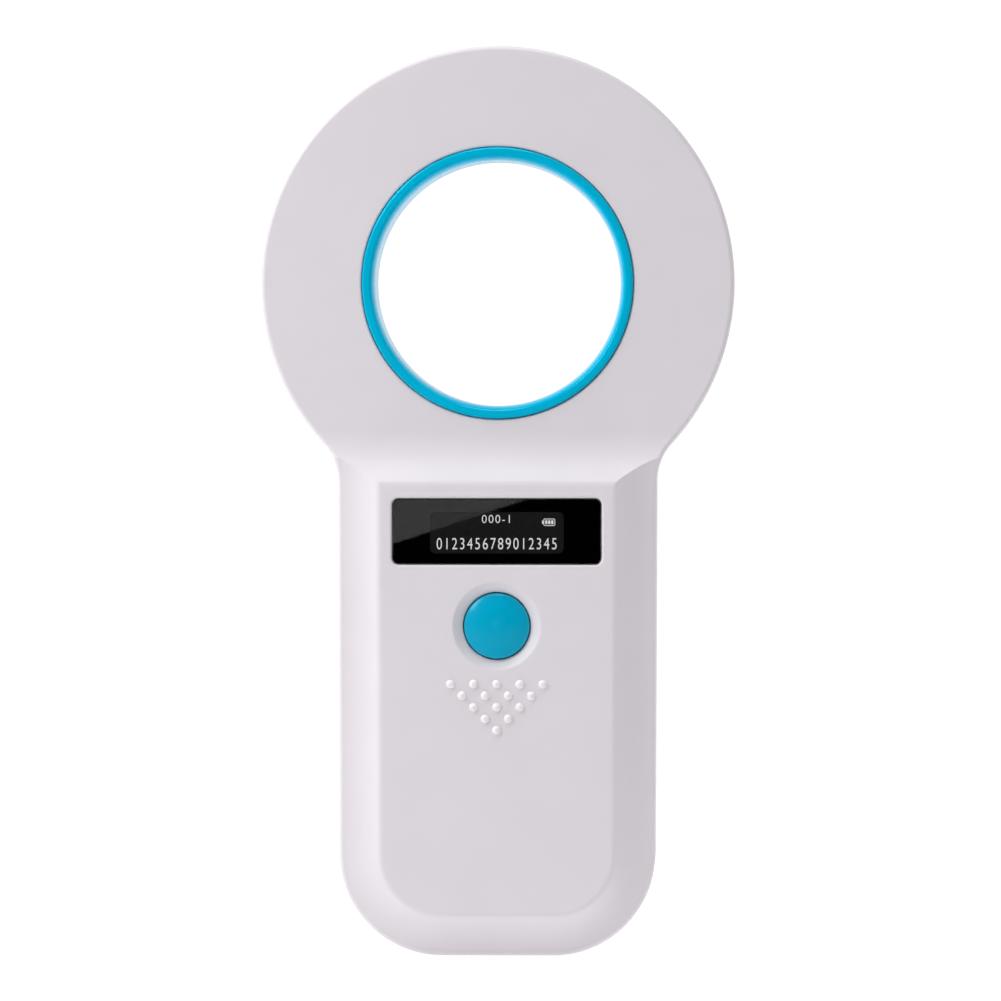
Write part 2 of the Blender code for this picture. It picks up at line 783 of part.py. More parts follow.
def grip_dots():
    """Small domes in a triangle that points down."""
    bm = bmesh.new()
    for row in range(DOT_ROWS):
        count = DOT_ROWS - row
        for k in range(count):
            x = (k - (count - 1) / 2.0) * DOT_PITCH_X
            z = DOT_TOP_Z - row * DOT_PITCH_Z
            profile = [(DOT_R, PLATEAU + DOT_HIGH)]
            profile += [(DOT_R * across, PLATEAU - DOT_HIGH * up) for across, up in DOT_SHAPE]
            turned(profile, (x, z), DOT_SEGMENTS, bm=bm)
    return tool("grip_dots", bm)


def front_housing():
    body = new_object("front_housing", shell_block(front_side()), "shell_white")
    cut(body, front_hollow())
    collar = cylinder((0.0, HEAD_Z), COLLAR_R, HEAD_FRONT + INTO_WALL, -PARTING, HOLE_SEGMENTS)
    join(body, tool("front_collar", collar), front_bosses())
    join(body, coil_ribs("front_ribs", HEAD_FRONT + RIB_IN_WALL, COIL_SPAN[0] - RIB_GAP))
    cut(body, rim_ring("front_rebate", REBATE_OUT, REBATE_IN, -REBATE_DEEP, PAST))
    cut(body, *front_openings())
    join(body, grip_dots())
    return body


def rear_hollow():
    profile = [
        (WALL, BACK_HOLLOW_START),
        (WALL, BACK_SIDE),
        (WALL + BACK_HOLLOW_BEND[0], BACK_SIDE + BACK_HOLLOW_BEND[1]),
        (WALL + BACK_ROUND_WIDTH, HALF_DEPTH - WALL),
    ]
    return hollow("rear_hollow", back_side(), profile)


def rear_bosses():
    bm = bmesh.new()
    for x, z in HOUSING_SCREWS:
        end = HEAD_BACK - INTO_WALL if z > NECK_BACK[1] else REAR_BOSS_END
        cylinder((x, z), REAR_BOSS_R, GAP, end, SCREW_HOLE_SEGMENTS, bm=bm)
    return tool("rear_bosses", bm)


def battery_ribs():
    """Two upright ribs that keep the cell between them."""
    bm = bmesh.new()
    for side in (-1, 1):
        x = side * (CELL_SIZE[0] / 2 + CELL_RIB_GAP + CELL_RIB[0] / 2)
        block_mesh((x, CELL_RIB_Y, CELL_Z), CELL_RIB, bm=bm)
    return tool("battery_ribs", bm)


def rear_openings():
    holes = bmesh.new()
    for x, z in HOUSING_SCREWS:
        profile = [
            (CLEARANCE_R, -LIP_HIGH - PAST),
            (CLEARANCE_R, SCREW_SEAT),
            (COUNTERBORE_R, SCREW_SEAT),
            (COUNTERBORE_R, FAR),
        ]
        turned(profile, (x, z), SCREW_HOLE_SEGMENTS, bm=holes)
    through = cylinder((0.0, HEAD_Z), SLEEVE_R + RING_FIT, -LIP_HIGH - PAST, HEAD_BACK + PAST, HOLE_SEGMENTS)
    label = prism(
        rounded_rect(LABEL_SIZE[0] + 2 * GAP, LABEL_SIZE[1] + 2 * GAP, LABEL_RADIUS + GAP, (0.0, LABEL_Z)),
        HALF_DEPTH - LABEL_RECESS,
        FAR,
    )
    return [tool("rear_holes", holes), tool("rear_hole", through), tool("label_recess", label)]


def rear_housing():
    body = new_object("rear_housing", shell_block(back_side()), "shell_white")
    lip = prism(full_outline(LIP_OUT), -LIP_HIGH, PARTING + PAST)
    join(body, tool("rear_lip", lip))
    cut(body, rear_hollow())
    collar = cylinder((0.0, HEAD_Z), COLLAR_R, PARTING, HEAD_BACK - INTO_WALL, HOLE_SEGMENTS)
    join(body, tool("rear_collar", collar), rear_bosses(), battery_ribs())
    join(body, coil_ribs("rear_ribs", COIL_SPAN[1] + RIB_GAP, HEAD_BACK - RIB_IN_WALL))
    cut(body, *rear_openings())
    return body


# ---------------------------------------------------------------- outside trim


def ring_trim():
    """Sleeve through the head with a rounded flange in front."""
    front = HEAD_FRONT - RING_PROUD
    profile = [
        (SLEEVE_R, HEAD_BACK),
        (SLEEVE_R, FLANGE_BACK),
        (FLANGE_R, FLANGE_BACK),
        (FLANGE_R, front + RING_EASE[1]),
        (FLANGE_R - RING_EASE[0], front),
    ]
    profile += [(HOLE_R + out, front + back) for out, back in RING_LIP]
    profile += [(HOLE_R, HEAD_BACK - RING_END_EASE), (HOLE_R + RING_END_EASE, HEAD_BACK)]
    return new_object("ring_trim", turned(profile, (0.0, HEAD_Z), HOLE_SEGMENTS, closed=True), "trim_blue")


def rear_label():
    low = HALF_DEPTH - LABEL_RECESS + ON_BOARD
    outline = rounded_rect(*LABEL_SIZE, LABEL_RADIUS, (0.0, LABEL_Z))
    return new_object("rear_label", prism(outline, low, low + LABEL_THICK), "label_grey")


# ---------------------------------------------------------------- display


def display():
    lens = prism(rounded_rect(*LENS_SIZE, LENS_RADIUS, (0.0, LENS_Z)), *LENS_SPAN)
    new_object("display_lens", lens, "lens_black")
    outer = rounded_rect(
        LENS_SIZE[0] - 2 * GASKET_INSET, LENS_SIZE[1] - 2 * GASKET_INSET, LENS_RADIUS - GASKET_INSET, (0.0, LENS_Z)
    )
    inner = rounded_rect(WINDOW_SIZE[0] + 2 * GAP, WINDOW_SIZE[1] + 2 * GAP, WINDOW_RADIUS, (0.0, LENS_Z))
    front, back = GASKET_SPAN
    frame = [flat_ring(outer, front), flat_ring(outer, back), flat_ring(inner, back), flat_ring(inner, front)]
    new_object("lens_gasket", loft(bmesh.new(), frame, closed=True), "gasket_black")
    oled = prism(rounded_rect(*OLED_SIZE, GAP, (0.0, LENS_Z), steps=1), *OLED_SPAN)
    new_object("oled_panel", oled, "oled_glass")
    foam_y = (OLED_SPAN[1] + ON_BOARD, BOARD_SPAN[0] - ON_BOARD)
    foam = prism(rounded_rect(*FOAM_SIZE, 1.0, (0.0, LENS_Z), steps=2), *foam_y)
    new_object("oled_foam", foam, "foam_white")
    oled_flex()


def oled_flex():
    """Thin tail that folds from the panel's lower edge back to its connector."""
    top = Vector((OLED_SPAN[1] - 0.5, LENS_Z - OLED_SIZE[1] / 2 - 0.2))
    end = Vector((BOARD_SPAN[0] - FLEX_END_GAP, FLEX_END_Z))
    lead = Vector((0.0, FLEX_BEND))
    path = interpolate_bezier(top, top - lead, end + lead, end, 9)
    rings = []
    half = FLEX_WIDTH / 2
    for before, here, after in zip([path[0]] + path, path, path[1:] + [path[-1]]):
        along = (after - before).normalized()
        side = Vector((-along.y, along.x)) * (FLEX_THICK / 2)
        near, far = here + side, here - side
        rings.append([(-half, near.x, near.y), (half, near.x, near.y), (half, far.x, far.y), (-half, far.x, far.y)])
    new_object("oled_flex", loft(bmesh.new(), rings), "flex_amber")


# ---------------------------------------------------------------- scan button


def scan_button():
    """Hollow cap with a crowned face, a retaining flange and a stem; its origin is on its axis."""
    profile = [(BUTTON_R * share, drop - HALF_DEPTH) for share, drop in CROWN]
    profile += [
        (BUTTON_R, BUTTON_FLANGE[0]),
        (BUTTON_FLANGE_R, BUTTON_FLANGE[0]),
        (BUTTON_FLANGE_R, BUTTON_FLANGE[1]),
        (BUTTON_CUP_R, BUTTON_FLANGE[1]),
        (BUTTON_CUP_R, BUTTON_CUP_FLOOR),
        (STEM_R, BUTTON_CUP_FLOOR),
        (STEM_R, STEM_END),
    ]
    origin = (0.0, -HALF_DEPTH, BUTTON_Z)
    return new_object("scan_button", turned(profile, (0.0, BUTTON_Z)), "trim_blue", origin)


def tact_switch():
    base = BOARD_SPAN[0] - ON_BOARD
    centre = (0.0, BUTTON_Z)
    outline = rounded_rect(SWITCH_SIDE, SWITCH_SIDE, SWITCH_RADIUS, centre, steps=2)
    body = prism(outline, SWITCH_TOP, base)
    switch = new_object("switch_base", body, "chip_black")
    well_r = PLUNGER_R + PLUNGER_FIT
    cut(switch, tool("switch_well", cylinder(centre, well_r, SWITCH_TOP - PAST, PLUNGER_WELL)))
    cover = new_object("switch_cover", prism(outline, *COVER_SPAN), "steel")
    hole = cylinder(centre, well_r, COVER_SPAN[0] - PAST, COVER_SPAN[1] + PAST)
    cut(cover, tool("switch_cover_hole", hole))
    plunger = cylinder(centre, PLUNGER_R, *PLUNGER_SPAN)
    new_object("switch_plunger", plunger, "chip_black", (0.0, PLUNGER_SPAN[0], BUTTON_Z))


# ---------------------------------------------------------------- main board


def main_board():
    low, high = BOARD_Z
    half = arc((BOARD_HALF_WIDTH - BOARD_CORNER, low + BOARD_CORNER), BOARD_CORNER, -90.0, 0.0, 4)
    half += arc((BOARD_HALF_WIDTH - BOARD_TOP_CORNER, high - BOARD_TOP_CORNER), BOARD_TOP_CORNER, 0.0, 90.0, 2)
    board = new_object("main_board", prism(mirrored(half), *BOARD_SPAN), "board_green")
    holes = bmesh.new()
    for x, z in BOARD_SCREWS:
        cylinder((x, z), PILOT_R, BOARD_SPAN[0] - PAST, BOARD_SPAN[1] + PAST, bm=holes)
    return cut(board, tool("board_holes", holes))


def components():
    for row in COMPONENTS:
        chip(*row)
    front = BOARD_SPAN[0] - ON_BOARD
    top = front - BUZZER_HIGH
    buzzer = new_object("buzzer", cylinder(BUZZER_PLACE, BUZZER_R, top, front, ROUND_SEGMENTS), "chip_black")
    cut(buzzer, tool("buzzer_hole", cylinder(BUZZER_PLACE, BUZZER_HOLE_R, top - PAST, front - WALL / 2)))
    base = BOARD_SPAN[1] + ON_BOARD
    waist = base + CAPACITOR_R / 2
    can = [
        (CAPACITOR_R, base),
        (CAPACITOR_R, waist - CAPACITOR_CRIMP),
        (CAPACITOR_R - CAPACITOR_CRIMP, waist),
        (CAPACITOR_R, waist + CAPACITOR_CRIMP),
        (CAPACITOR_R, base + CAPACITOR_HIGH - GAP),
        (CAPACITOR_R - GAP, base + CAPACITOR_HIGH),
    ]
    new_object("supply_capacitor", turned(can, CAPACITOR_PLACE, SCREW_HOLE_SEGMENTS), "cell_foil")


def usb_socket():
    """Metal shell open at its mouth, with the contact tongue inside."""
    width, length, high = USB_SIZE
    shell = new_object("usb_shell", block_mesh((0.0, USB_Y, USB_Z), (width, high, length), 0.2), "steel")
    mouth = (width - 2 * USB_WALL, high - 2 * USB_WALL, length)
    cut(shell, tool("usb_mouth", block_mesh((0.0, USB_Y, USB_Z - 1.5 * USB_WALL), mouth, 0.2)))
    tongue = block_mesh((0.0, USB_Y - GAP, USB_Z - SLIVER), USB_TONGUE, 0.2)
    new_object("usb_tongue", tongue, "chip_black")


# ---------------------------------------------------------------- battery


def battery():
    width, high = CELL_SIZE
    cell = prism(rounded_rect(width, high, CELL_RADIUS, (0.0, CELL_Z), steps=3), *CELL_SPAN)
    new_object("battery_cell", cell, "cell_foil")
    pad = rounded_rect(width - 2 * PAD_MARGIN[0], high - 2 * PAD_MARGIN[1], 1.0, (0.0, CELL_Z), steps=2)
    new_object("battery_pad", prism(pad, *PAD_SPAN), "foam_white")
    guard = block_mesh((0.0, GUARD_Y, CELL_Z + high / 2 + GUARD_ABOVE_CELL), GUARD_SIZE)
    new_object("battery_guard_board", guard, "board_green")
    battery_plug()
    for name, finish, side in (("battery_lead_red", "wire_red", -1), ("battery_lead_black", "wire_black", 1)):
        wire(name, [(side * x, y, z) for x, y, z in LEAD_ROUTE], LEAD_R, finish)


def battery_plug():
    """Board socket open to the back, and the plug pushed into it."""
    width, high, length = SOCKET_SIZE
    middle = BOARD_SPAN[1] + ON_BOARD + high / 2
    socket = new_object("battery_socket", block_mesh((0.0, middle, SOCKET_Z), SOCKET_SIZE), "plastic_cream")
    well = (width - 2 * SOCKET_WALL, high, length - 2 * SOCKET_WALL)
    cut(socket, tool("socket_well", block_mesh((0.0, middle + SOCKET_FLOOR, SOCKET_Z), well)))
    new_object("battery_plug", block_mesh((0.0, PLUG_Y, SOCKET_Z), PLUG_SIZE), "plastic_cream")


# ---------------------------------------------------------------- antenna


def antenna():
    low, high = COIL_SPAN
    inner, outer = COIL_R
    profile = [
        (inner, high - COIL_SOFT),
        (inner, low + COIL_SOFT),
        (inner + COIL_SOFT, low),
        (outer - COIL_SOFT, low),
        (outer, low + COIL_SOFT),
        (outer, high - COIL_SOFT),
        (outer - COIL_SOFT, high),
        (inner + COIL_SOFT, high),
    ]
    new_object("antenna_coil", turned(profile, (0.0, HEAD_Z), HOLE_SEGMENTS, closed=True), "copper")
    for k, angle in enumerate(TAPE_ANGLES):
        coil_tape(f"coil_tape_{k + 1}", angle)
    for side, name in ((-1, "coil_lead_start"), (1, "coil_lead_end")):
        wire(name, [(side * x, y, z) for x, y, z in COIL_LEAD_ROUTE], COIL_LEAD_R, "copper")


def coil_tape(name, angle):
    """A square sleeve of tape round the coil, bent along it."""
    inner = (COIL_R[0] - TAPE_FIT, COIL_R[1] + TAPE_FIT, COIL_SPAN[0] - TAPE_FIT, COIL_SPAN[1] + TAPE_FIT)
    outer = (inner[0] - TAPE_THICK, inner[1] + TAPE_THICK, inner[2] - TAPE_THICK, inner[3] + TAPE_THICK)
    steps = 3

    def loop(box, turn):
        across = Vector((math.cos(turn), math.sin(turn)))
        corners = ((box[0], box[2]), (box[1], box[2]), (box[1], box[3]), (box[0], box[3]))
        return [(across.x * r, y, HEAD_Z + across.y * r) for r, y in corners]

    turns = [math.radians(angle + TAPE_TURN * (k / steps - 0.5)) for k in range(steps + 1)]
    rings = [loop(outer, turn) for turn in turns] + [loop(inner, turn) for turn in reversed(turns)]
    return new_object(name, loft(bmesh.new(), rings, closed=True), "tape_amber")


# ---------------------------------------------------------------- fasteners


def screw_mesh(name, length):
    """A pan-head screw along -Y with a cross recess; its seat is at the origin."""
    profile = [
        (GAP, -length),
        (SCREW_SHANK_R, SCREW_TIP - length),
        (SCREW_SHANK_R, 0.0),
        (SCREW_HEAD_R, 0.0),
        (SCREW_HEAD_R, SCREW_HEAD_HIGH * 0.5),
        (SCREW_HEAD_R * 0.62, SCREW_HEAD_HIGH),
    ]
    blank = new_object(name, turned(profile, segments=SMALL_SEGMENTS), "steel")
    quarter = [(CROSS_ARM, -CROSS_HALF), (CROSS_ARM, CROSS_HALF), (CROSS_HALF, CROSS_HALF)]
    cross = []
    for k in range(4):
        turn = Matrix.Rotation(math.radians(90.0 * k), 2)
        cross += [tuple(turn @ Vector(point)) for point in quarter]
    cutter = tool(name + "_cross", prism(cross, SCREW_HEAD_HIGH - CROSS_DEEP, SCREW_HEAD_HIGH + PAST))
    cut(blank, cutter)
    bpy.context.view_layer.update()
    graph = bpy.context.evaluated_depsgraph_get()
    mesh = bpy.data.meshes.new_from_object(blank.evaluated_get(graph))
    for spare in (blank, cutter):
        bpy.data.objects.remove(spare, do_unlink=True)
    return mesh


def screws():
    long_mesh = screw_mesh("housing_screw", HOUSING_SCREW_LONG)
    short_mesh = screw_mesh("board_screw", BOARD_SCREW_LONG)
    sets = (
        ("housing_screw", long_mesh, SCREW_SEAT, HOUSING_SCREWS),
        ("board_screw", short_mesh, BOARD_SPAN[1], BOARD_SCREWS),
    )
    for name, mesh, seat, places in sets:
        for k, (x, z) in enumerate(places):
            obj = bpy.data.objects.new(f"{name}_{k + 1}", mesh)
            obj.location = Vector((x, seat + ON_BOARD, z)) * MM
            bpy.context.collection.objects.link(obj)


def build():
    clear_scene()
    front_housing()
    rear_housing()
    ring_trim()
    rear_label()
    display()
    scan_button()
    tact_switch()
    main_board()
    components()
    usb_socket()
    battery()
    antenna()
    screws()


build()
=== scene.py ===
"""Looks of the handheld microchip scanner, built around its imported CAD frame."""

import json
import math
from collections import namedtuple
from functools import partial

import bmesh
import bpy
from mathutils import Matrix, Vector


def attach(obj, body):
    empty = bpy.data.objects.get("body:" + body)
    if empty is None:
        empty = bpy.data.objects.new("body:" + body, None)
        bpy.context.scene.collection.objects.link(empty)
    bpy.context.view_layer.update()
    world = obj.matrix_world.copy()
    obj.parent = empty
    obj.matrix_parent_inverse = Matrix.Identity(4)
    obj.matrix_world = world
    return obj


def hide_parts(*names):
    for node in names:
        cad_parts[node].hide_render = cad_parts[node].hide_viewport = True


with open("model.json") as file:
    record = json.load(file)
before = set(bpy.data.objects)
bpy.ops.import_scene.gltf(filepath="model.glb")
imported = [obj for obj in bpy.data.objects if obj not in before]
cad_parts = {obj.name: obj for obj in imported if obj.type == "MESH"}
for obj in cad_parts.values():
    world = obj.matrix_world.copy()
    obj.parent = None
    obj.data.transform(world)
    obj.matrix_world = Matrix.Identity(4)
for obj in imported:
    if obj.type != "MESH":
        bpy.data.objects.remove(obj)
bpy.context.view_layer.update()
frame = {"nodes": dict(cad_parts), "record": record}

MM = 0.001

# Outline, in millimetres, seen from the front
HEAD_R = 43.0
HEAD_Z = 122.0
HEAD_AT = (0.0, HEAD_Z)
HALF_WIDTH_TOP = 28.95
HALF_WIDTH_BOTTOM = 28.65
CORNER_R = 18.5
CORNER_AT = (HALF_WIDTH_BOTTOM - CORNER_R, CORNER_R)
FLARE_R = 10.0
FLARE_X = HALF_WIDTH_TOP + FLARE_R
FLARE_DROP = math.sqrt((HEAD_R + FLARE_R) ** 2 - FLARE_X**2)
FLARE_AT = (FLARE_X, HEAD_Z - FLARE_DROP)
FLARE_TURN = math.degrees(math.atan2(FLARE_DROP, FLARE_X))
NECK_TOP = 97.5
NECK_TUCK = 0.3

# Depth
PARTING = 0.15
PARTING_ROUND = 0.12
PARTING_STEPS = 3
HALF_DEPTH = 14.1
WALL = 2.2
HEAD_FRONT = -8.5
HEAD_BACK = 6.5
PLATEAU = -13.5
THROUGH_FACE = PLATEAU + WALL + 0.8  # where a cutter that passes the raised face ends
HANDLE_EDGE = -9.75
EDGE_ROUND = 0.9
PLATEAU_INSET = 7.45
PLATEAU_ROUND = 1.8
SIDE_COVE_SAG = 0.45
BACK_SIDE = 7.2
BACK_ROUND_WIDTH = 6.5
BACK_HOLLOW = (1.6, 3.2)  # the hollow's chamfer, inset and height
BACK_RIM_ROUND = 2.0
SIDE_TOP = 80.0
NECK_FRONT = (86.0, 95.4)
NECK_BACK = (82.0, 97.0)
LIP_OUT = 1.3
LIP_HIGH = 1.4
REBATE_OUT = 1.1
REBATE_IN = WALL + 0.15
REBATE_DEEP = LIP_HIGH + 0.3
BEYOND = 6.0  # how far a cutter stands out of the face it cuts
ROOTED = 1.0  # how far under the outer face a joined shape starts

# Head ring
HOLE_R = 22.3
SLEEVE_R = 23.6
FLANGE_R = 24.6
FLANGE_FIT = 0.1
FLANGE_BACK = -7.1
FLANGE_SEAT = -7.0
RING_FRONT = -8.9
RING_FIT = 0.2
RING_OUTER_ROUND = 0.45
RING_MOUTH = (1.15, 3.3)  # the flange's inner curve, across and deep
RING_MOUTH_STEPS = 16
RING_BACK_ROUND = 0.4
SEAT_ROUND = 0.45
COLLAR_R = 25.8

# Display
LENS_SIZE = (37.7, 11.8)
LENS_Z = 77.0
LENS_AT = (0.0, LENS_Z)
LENS_RADIUS = 1.1
LENS_FIT = 0.1
LENS_EASE = 0.12
PRINTED_SIDE = 0.3  # a face of the plate whose normal leans forward less than this is printed
POCKET_DEEP = 1.45
POCKET_ROUND = 0.5
LENS_SPAN = (-13.35, -12.6)
MASK_SPAN = (-12.57, -12.47)
MASK_FIT = 0.3
SCREEN_SIZE = (24.2, 7.5)
SCREEN_Z = LENS_Z - 0.25
SCREEN_RADIUS = 1.0
WINDOW_SIZE = (26.4, 9.2)
WINDOW_RADIUS = 0.8
SCREEN_FRONT = -12.42
GLASS_BACK = -11.12
GLASS_FIT = 0.6
GLASS_RADIUS = 0.6
FIGURES_FRONT = SCREEN_FRONT - 0.03
MARK_SPAN = (SCREEN_FRONT - 0.04, SCREEN_FRONT - 0.02)

# Lit figures: text, figure height, narrowing, spacing and centre's height over the display's middle
LOWER_FIGURES = ("0123456789012345", 2.1, 0.74, 1.25, -2.35)
UPPER_FIGURES = ("000-1", 1.5, 0.95, 1.2, 2.15)
FIGURE_SHARE = 0.7  # a figure's height in the font's size
FIGURE_THICK = 0.01
FIGURE_THINNING = -0.02

# Battery mark
BATTERY_AT = (9.5, 1.65)
BATTERY_SIZE = (2.1, 1.3)
BATTERY_LINE = 0.24
BATTERY_RADII = (0.25, 0.12, 0.05)  # outline's outer and inner edge, bars
BATTERY_BARS = 3
BATTERY_BAR = (0.38, 0.66)
BATTERY_BAR_PITCH = 0.54
BATTERY_TIP = (0.22, 0.6)
BATTERY_TIP_AT = -1.2

# Scan button
BUTTON_Z = 59.9
BUTTON_R = 5.95
BUTTON_FIT = 0.2
DISH_R = 8.0
DISH_DEEP = 1.25
DISH_RIM_ROUND = 0.7
DISH_RIM_STEEP = 34.0
DISH_SAG = -0.02
BUTTON_FLANGE_R = 7.2
BUTTON_FLANGE = (-11.0, -10.3)
BUTTON_CUP_R = 4.9
BUTTON_CUP_FLOOR = -12.4
BUTTON_SHOULDER = 0.8
BUTTON_CROWN_R = 13.0
BUTTON_CROWN_STEPS = 12
STEM_R = 1.5
STEM_END = -11.65

# Grip dots
DOT_ROWS = 5
DOT_PITCH_X = 4.18
DOT_PITCH_Z = 2.08
DOT_TOP_Z = 49.4
DOT_R = 0.78
DOT_HIGH = 0.55
DOT_RISE = 86.0  # degrees of the dome, from its foot towards its top
DOT_STEPS = 6

# Inside
BOARD_FRONT = -7.0
BOARD_SCREWS = ((-15.3, 15.5), (15.3, 15.5), (-15.3, 66.0), (15.3, 66.0))
POST_R = 2.3
POST_GAP = 0.1
COIL_R = (28.3, 33.3)
COIL_HALF = 3.0
COIL_GAP = 0.5
RIB_ROOTED = 1.2
RIB_OVERHANG = 1.3
RIB_HALF_WIDTH = 0.8
RIB_ANGLES = tuple(22.5 + 45.0 * k for k in range(8))
CELL_Z = 39.0
CELL_RIB_X = 18.2
CELL_RIB = (1.4, 40.0)
CELL_RIB_RADIUS = 0.3
CELL_RIB_SPAN = (6.5, 12.5)
USB_Y = -3.95
USB_CUT = (8.7, 3.3)
USB_CUT_RADIUS = 1.2
USB_CUT_EASE = 0.25

# Fasteners
HEAD_SCREW_X = 37.8 * math.cos(math.radians(45.0))
HOUSING_SCREWS = (
    (-24.0, 22.0),
    (24.0, 22.0),
    (-24.0, 77.0),
    (24.0, 77.0),
    (-HEAD_SCREW_X, HEAD_Z + HEAD_SCREW_X),
    (HEAD_SCREW_X, HEAD_Z + HEAD_SCREW_X),
)
BOSS_R = 3.1
BOSS_ROOTED = 0.4
BOSS_END = -0.3
REAR_BOSS_R = 3.4
REAR_BOSS_END = 11.3
PILOT_R = 1.2
PILOT_END = -5.2
CLEARANCE_R = 1.3
COUNTERBORE_R = 2.5
COUNTERBORE_EASE = 0.3
SCREW_SEAT = 4.0
SCREW_HEAD_R = 2.1
SCREW_HEAD_HIGH = 1.5
SCREW_SHANK_R = 1.0
SCREW_LONG = 8.5
SCREW_TIP = (0.3, 0.8)
SCREW_CROWN = 0.4
SCREW_RISE = 80.0  # degrees of the head's dome
SCREW_STEPS = 8
# Rings of the cross recess: height, arm and half width
CROSS_RECESS = ((SCREW_HEAD_HIGH - 0.9, 0.7, 0.16), (SCREW_HEAD_HIGH + 0.6, 1.35, 0.3))

# Label
LABEL_SIZE = (34.0, 42.0)
LABEL_Z = 44.0
LABEL_RECESS = 0.5
LABEL_FIT = 0.3
LABEL_RADIUS = 1.7

# Facets
CORNER_STEPS = 30
SIDE_STEPS = 12
NECK_STEPS = 28
HEAD_STEPS = 84
RIM_STEPS = 9
INNER_CORNER_STEPS = 10
INNER_FLARE_STEPS = 6
INNER_NECK_STEPS = 10
PROFILE_STEPS = 12
FILLET_STEPS = 6
ROUND_SEGMENTS = 96
HOLE_SEGMENTS = 168
SMALL_SEGMENTS = 32
SCREW_SEGMENTS = 48
SHARP_ANGLE = 20.0


# ---- mesh helpers

ADD = "UNION"
CUT = "DIFFERENCE"


def linked(name, data):
    """A new object in the scene."""
    obj = bpy.data.objects.new(name, data)
    bpy.context.collection.objects.link(obj)
    return obj


def to_mesh_object(name, bm):
    """A mesh object from a bmesh in millimetres."""
    bmesh.ops.scale(bm, verts=bm.verts, vec=(MM, MM, MM))
    bmesh.ops.recalc_face_normals(bm, faces=bm.faces)
    mesh = bpy.data.meshes.new(name)
    bm.to_mesh(mesh)
    bm.free()
    return linked(name, mesh)


def evaluated_mesh(obj, name):
    bpy.context.view_layer.update()
    graph = bpy.context.evaluated_depsgraph_get()
    mesh = bpy.data.meshes.new_from_object(obj.evaluated_get(graph))
    mesh.name = name
    return mesh


def combine(obj, steps):
    """Adds and cuts away bmesh shapes in turn."""
    spare = []
    for k, (operation, bm) in enumerate(steps):
        operand = to_mesh_object(f"{obj.name}_operand_{k}", bm)
        modifier = obj.modifiers.new(operand.name, "BOOLEAN")
        modifier.operation = operation
        modifier.solver = "EXACT"
        modifier.object = operand
        spare.append(operand)
    mesh = evaluated_mesh(obj, obj.name)
    obj.modifiers.clear()
    obj.data = mesh
    for operand in spare:
        bpy.data.objects.remove(operand, do_unlink=True)


def shade(obj, sharp=SHARP_ANGLE):
    obj.data.shade_smooth()
    obj.data.set_sharp_from_angle(angle=math.radians(sharp))
    modifier = obj.modifiers.new("even_shading", "WEIGHTED_NORMAL")
    modifier.keep_sharp = True
    modifier.weight = 100
    return obj


def arc(centre, radius, start, end, steps):
    """Points on an arc in the plane, angles in degrees, both ends included."""
    points = []
    for k in range(steps + 1):
        turn = math.radians(start + (end - start) * k / steps)
        points.append((centre[0] + radius * math.cos(turn), centre[1] + radius * math.sin(turn)))
    return points


def quarter(steps):
    """Along a rounding, the shares of its radius still left across and gained in depth."""
    for k in range(steps + 1):
        turn = math.radians(90.0 * k / steps)
        yield 1.0 - math.sin(turn), 1.0 - math.cos(turn)


def sagged(start, end, sag, steps):
    """Points on a shallow arc between two points, bowed to the left of its direction by sag."""
    along = Vector(end) - Vector(start)
    left = Vector((-along.y, along.x)).normalized()
    points = []
    for k in range(steps + 1):
        t = k / steps
        points.append(tuple(Vector(start) + along * t + left * (4.0 * sag * t * (1.0 - t))))
    return points


def skin(bm, one, two):
    """Faces between two closed rings of vertices."""
    count = len(one)
    for i in range(count):
        j = (i + 1) % count
        bm.faces.new((one[i], one[j], two[j], two[i]))


def loft(bm, rings, closed=False):
    made = [[bm.verts.new(point) for point in ring] for ring in rings]
    pairs = list(zip(made, made[1:]))
    if closed:
        pairs.append((made[-1], made[0]))
    for one, two in pairs:
        skin(bm, one, two)
    if not closed:
        bm.faces.new(made[0])
        bm.faces.new(reversed(made[-1]))
    return bm


def flat_ring(outline, y):
    return [(x, y, z) for x, z in outline]


def prism(outline, y_low, y_high, bm=None):
    return loft(bm or bmesh.new(), [flat_ring(outline, y_low), flat_ring(outline, y_high)])


def band(outer, inner, y_low, y_high, bm=None):
    """A closed frame between two outlines."""
    places = ((outer, y_low), (outer, y_high), (inner, y_high), (inner, y_low))
    return loft(bm or bmesh.new(), [flat_ring(outline, y) for outline, y in places], closed=True)


def circle(centre, radius, segments):
    return arc(centre, radius, 0.0, 360.0 * (segments - 1) / segments, segments - 1)


def turned(profile, centre=(0.0, 0.0), segments=ROUND_SEGMENTS, closed=False, bm=None):
    """A solid turned about a Y axis through (x, z) centre; the profile is (radius, y) points."""
    rings = [flat_ring(circle(centre, radius, segments), y) for radius, y in profile]
    return loft(bm or bmesh.new(), rings, closed)


def cylinder(centre, radius, y_low, y_high, segments=SMALL_SEGMENTS, bm=None):
    return turned([(radius, y_low), (radius, y_high)], centre, segments, bm=bm)


def rounded_rect(width, height, radius, centre=(0.0, 0.0), steps=8):
    points = []
    corners = ((1, -1, -90.0), (1, 1, 0.0), (-1, 1, 90.0), (-1, -1, 180.0))
    for side, end, start in corners:
        x = centre[0] + side * (width / 2 - radius)
        z = centre[1] + end * (height / 2 - radius)
        points += arc((x, z), radius, start, start + 90.0, steps)
    return points


def grown_rect(size, grow, radius, centre):
    """A rounded rectangle grown on every side, its corners with it."""
    return rounded_rect(size[0] + 2 * grow, size[1] + 2 * grow, radius + grow, centre)


def mirrored(half):
    """A whole outline from its right half, listed from the bottom up."""
    left = [(-x, z) for x, z in reversed(half)]
    return half + left


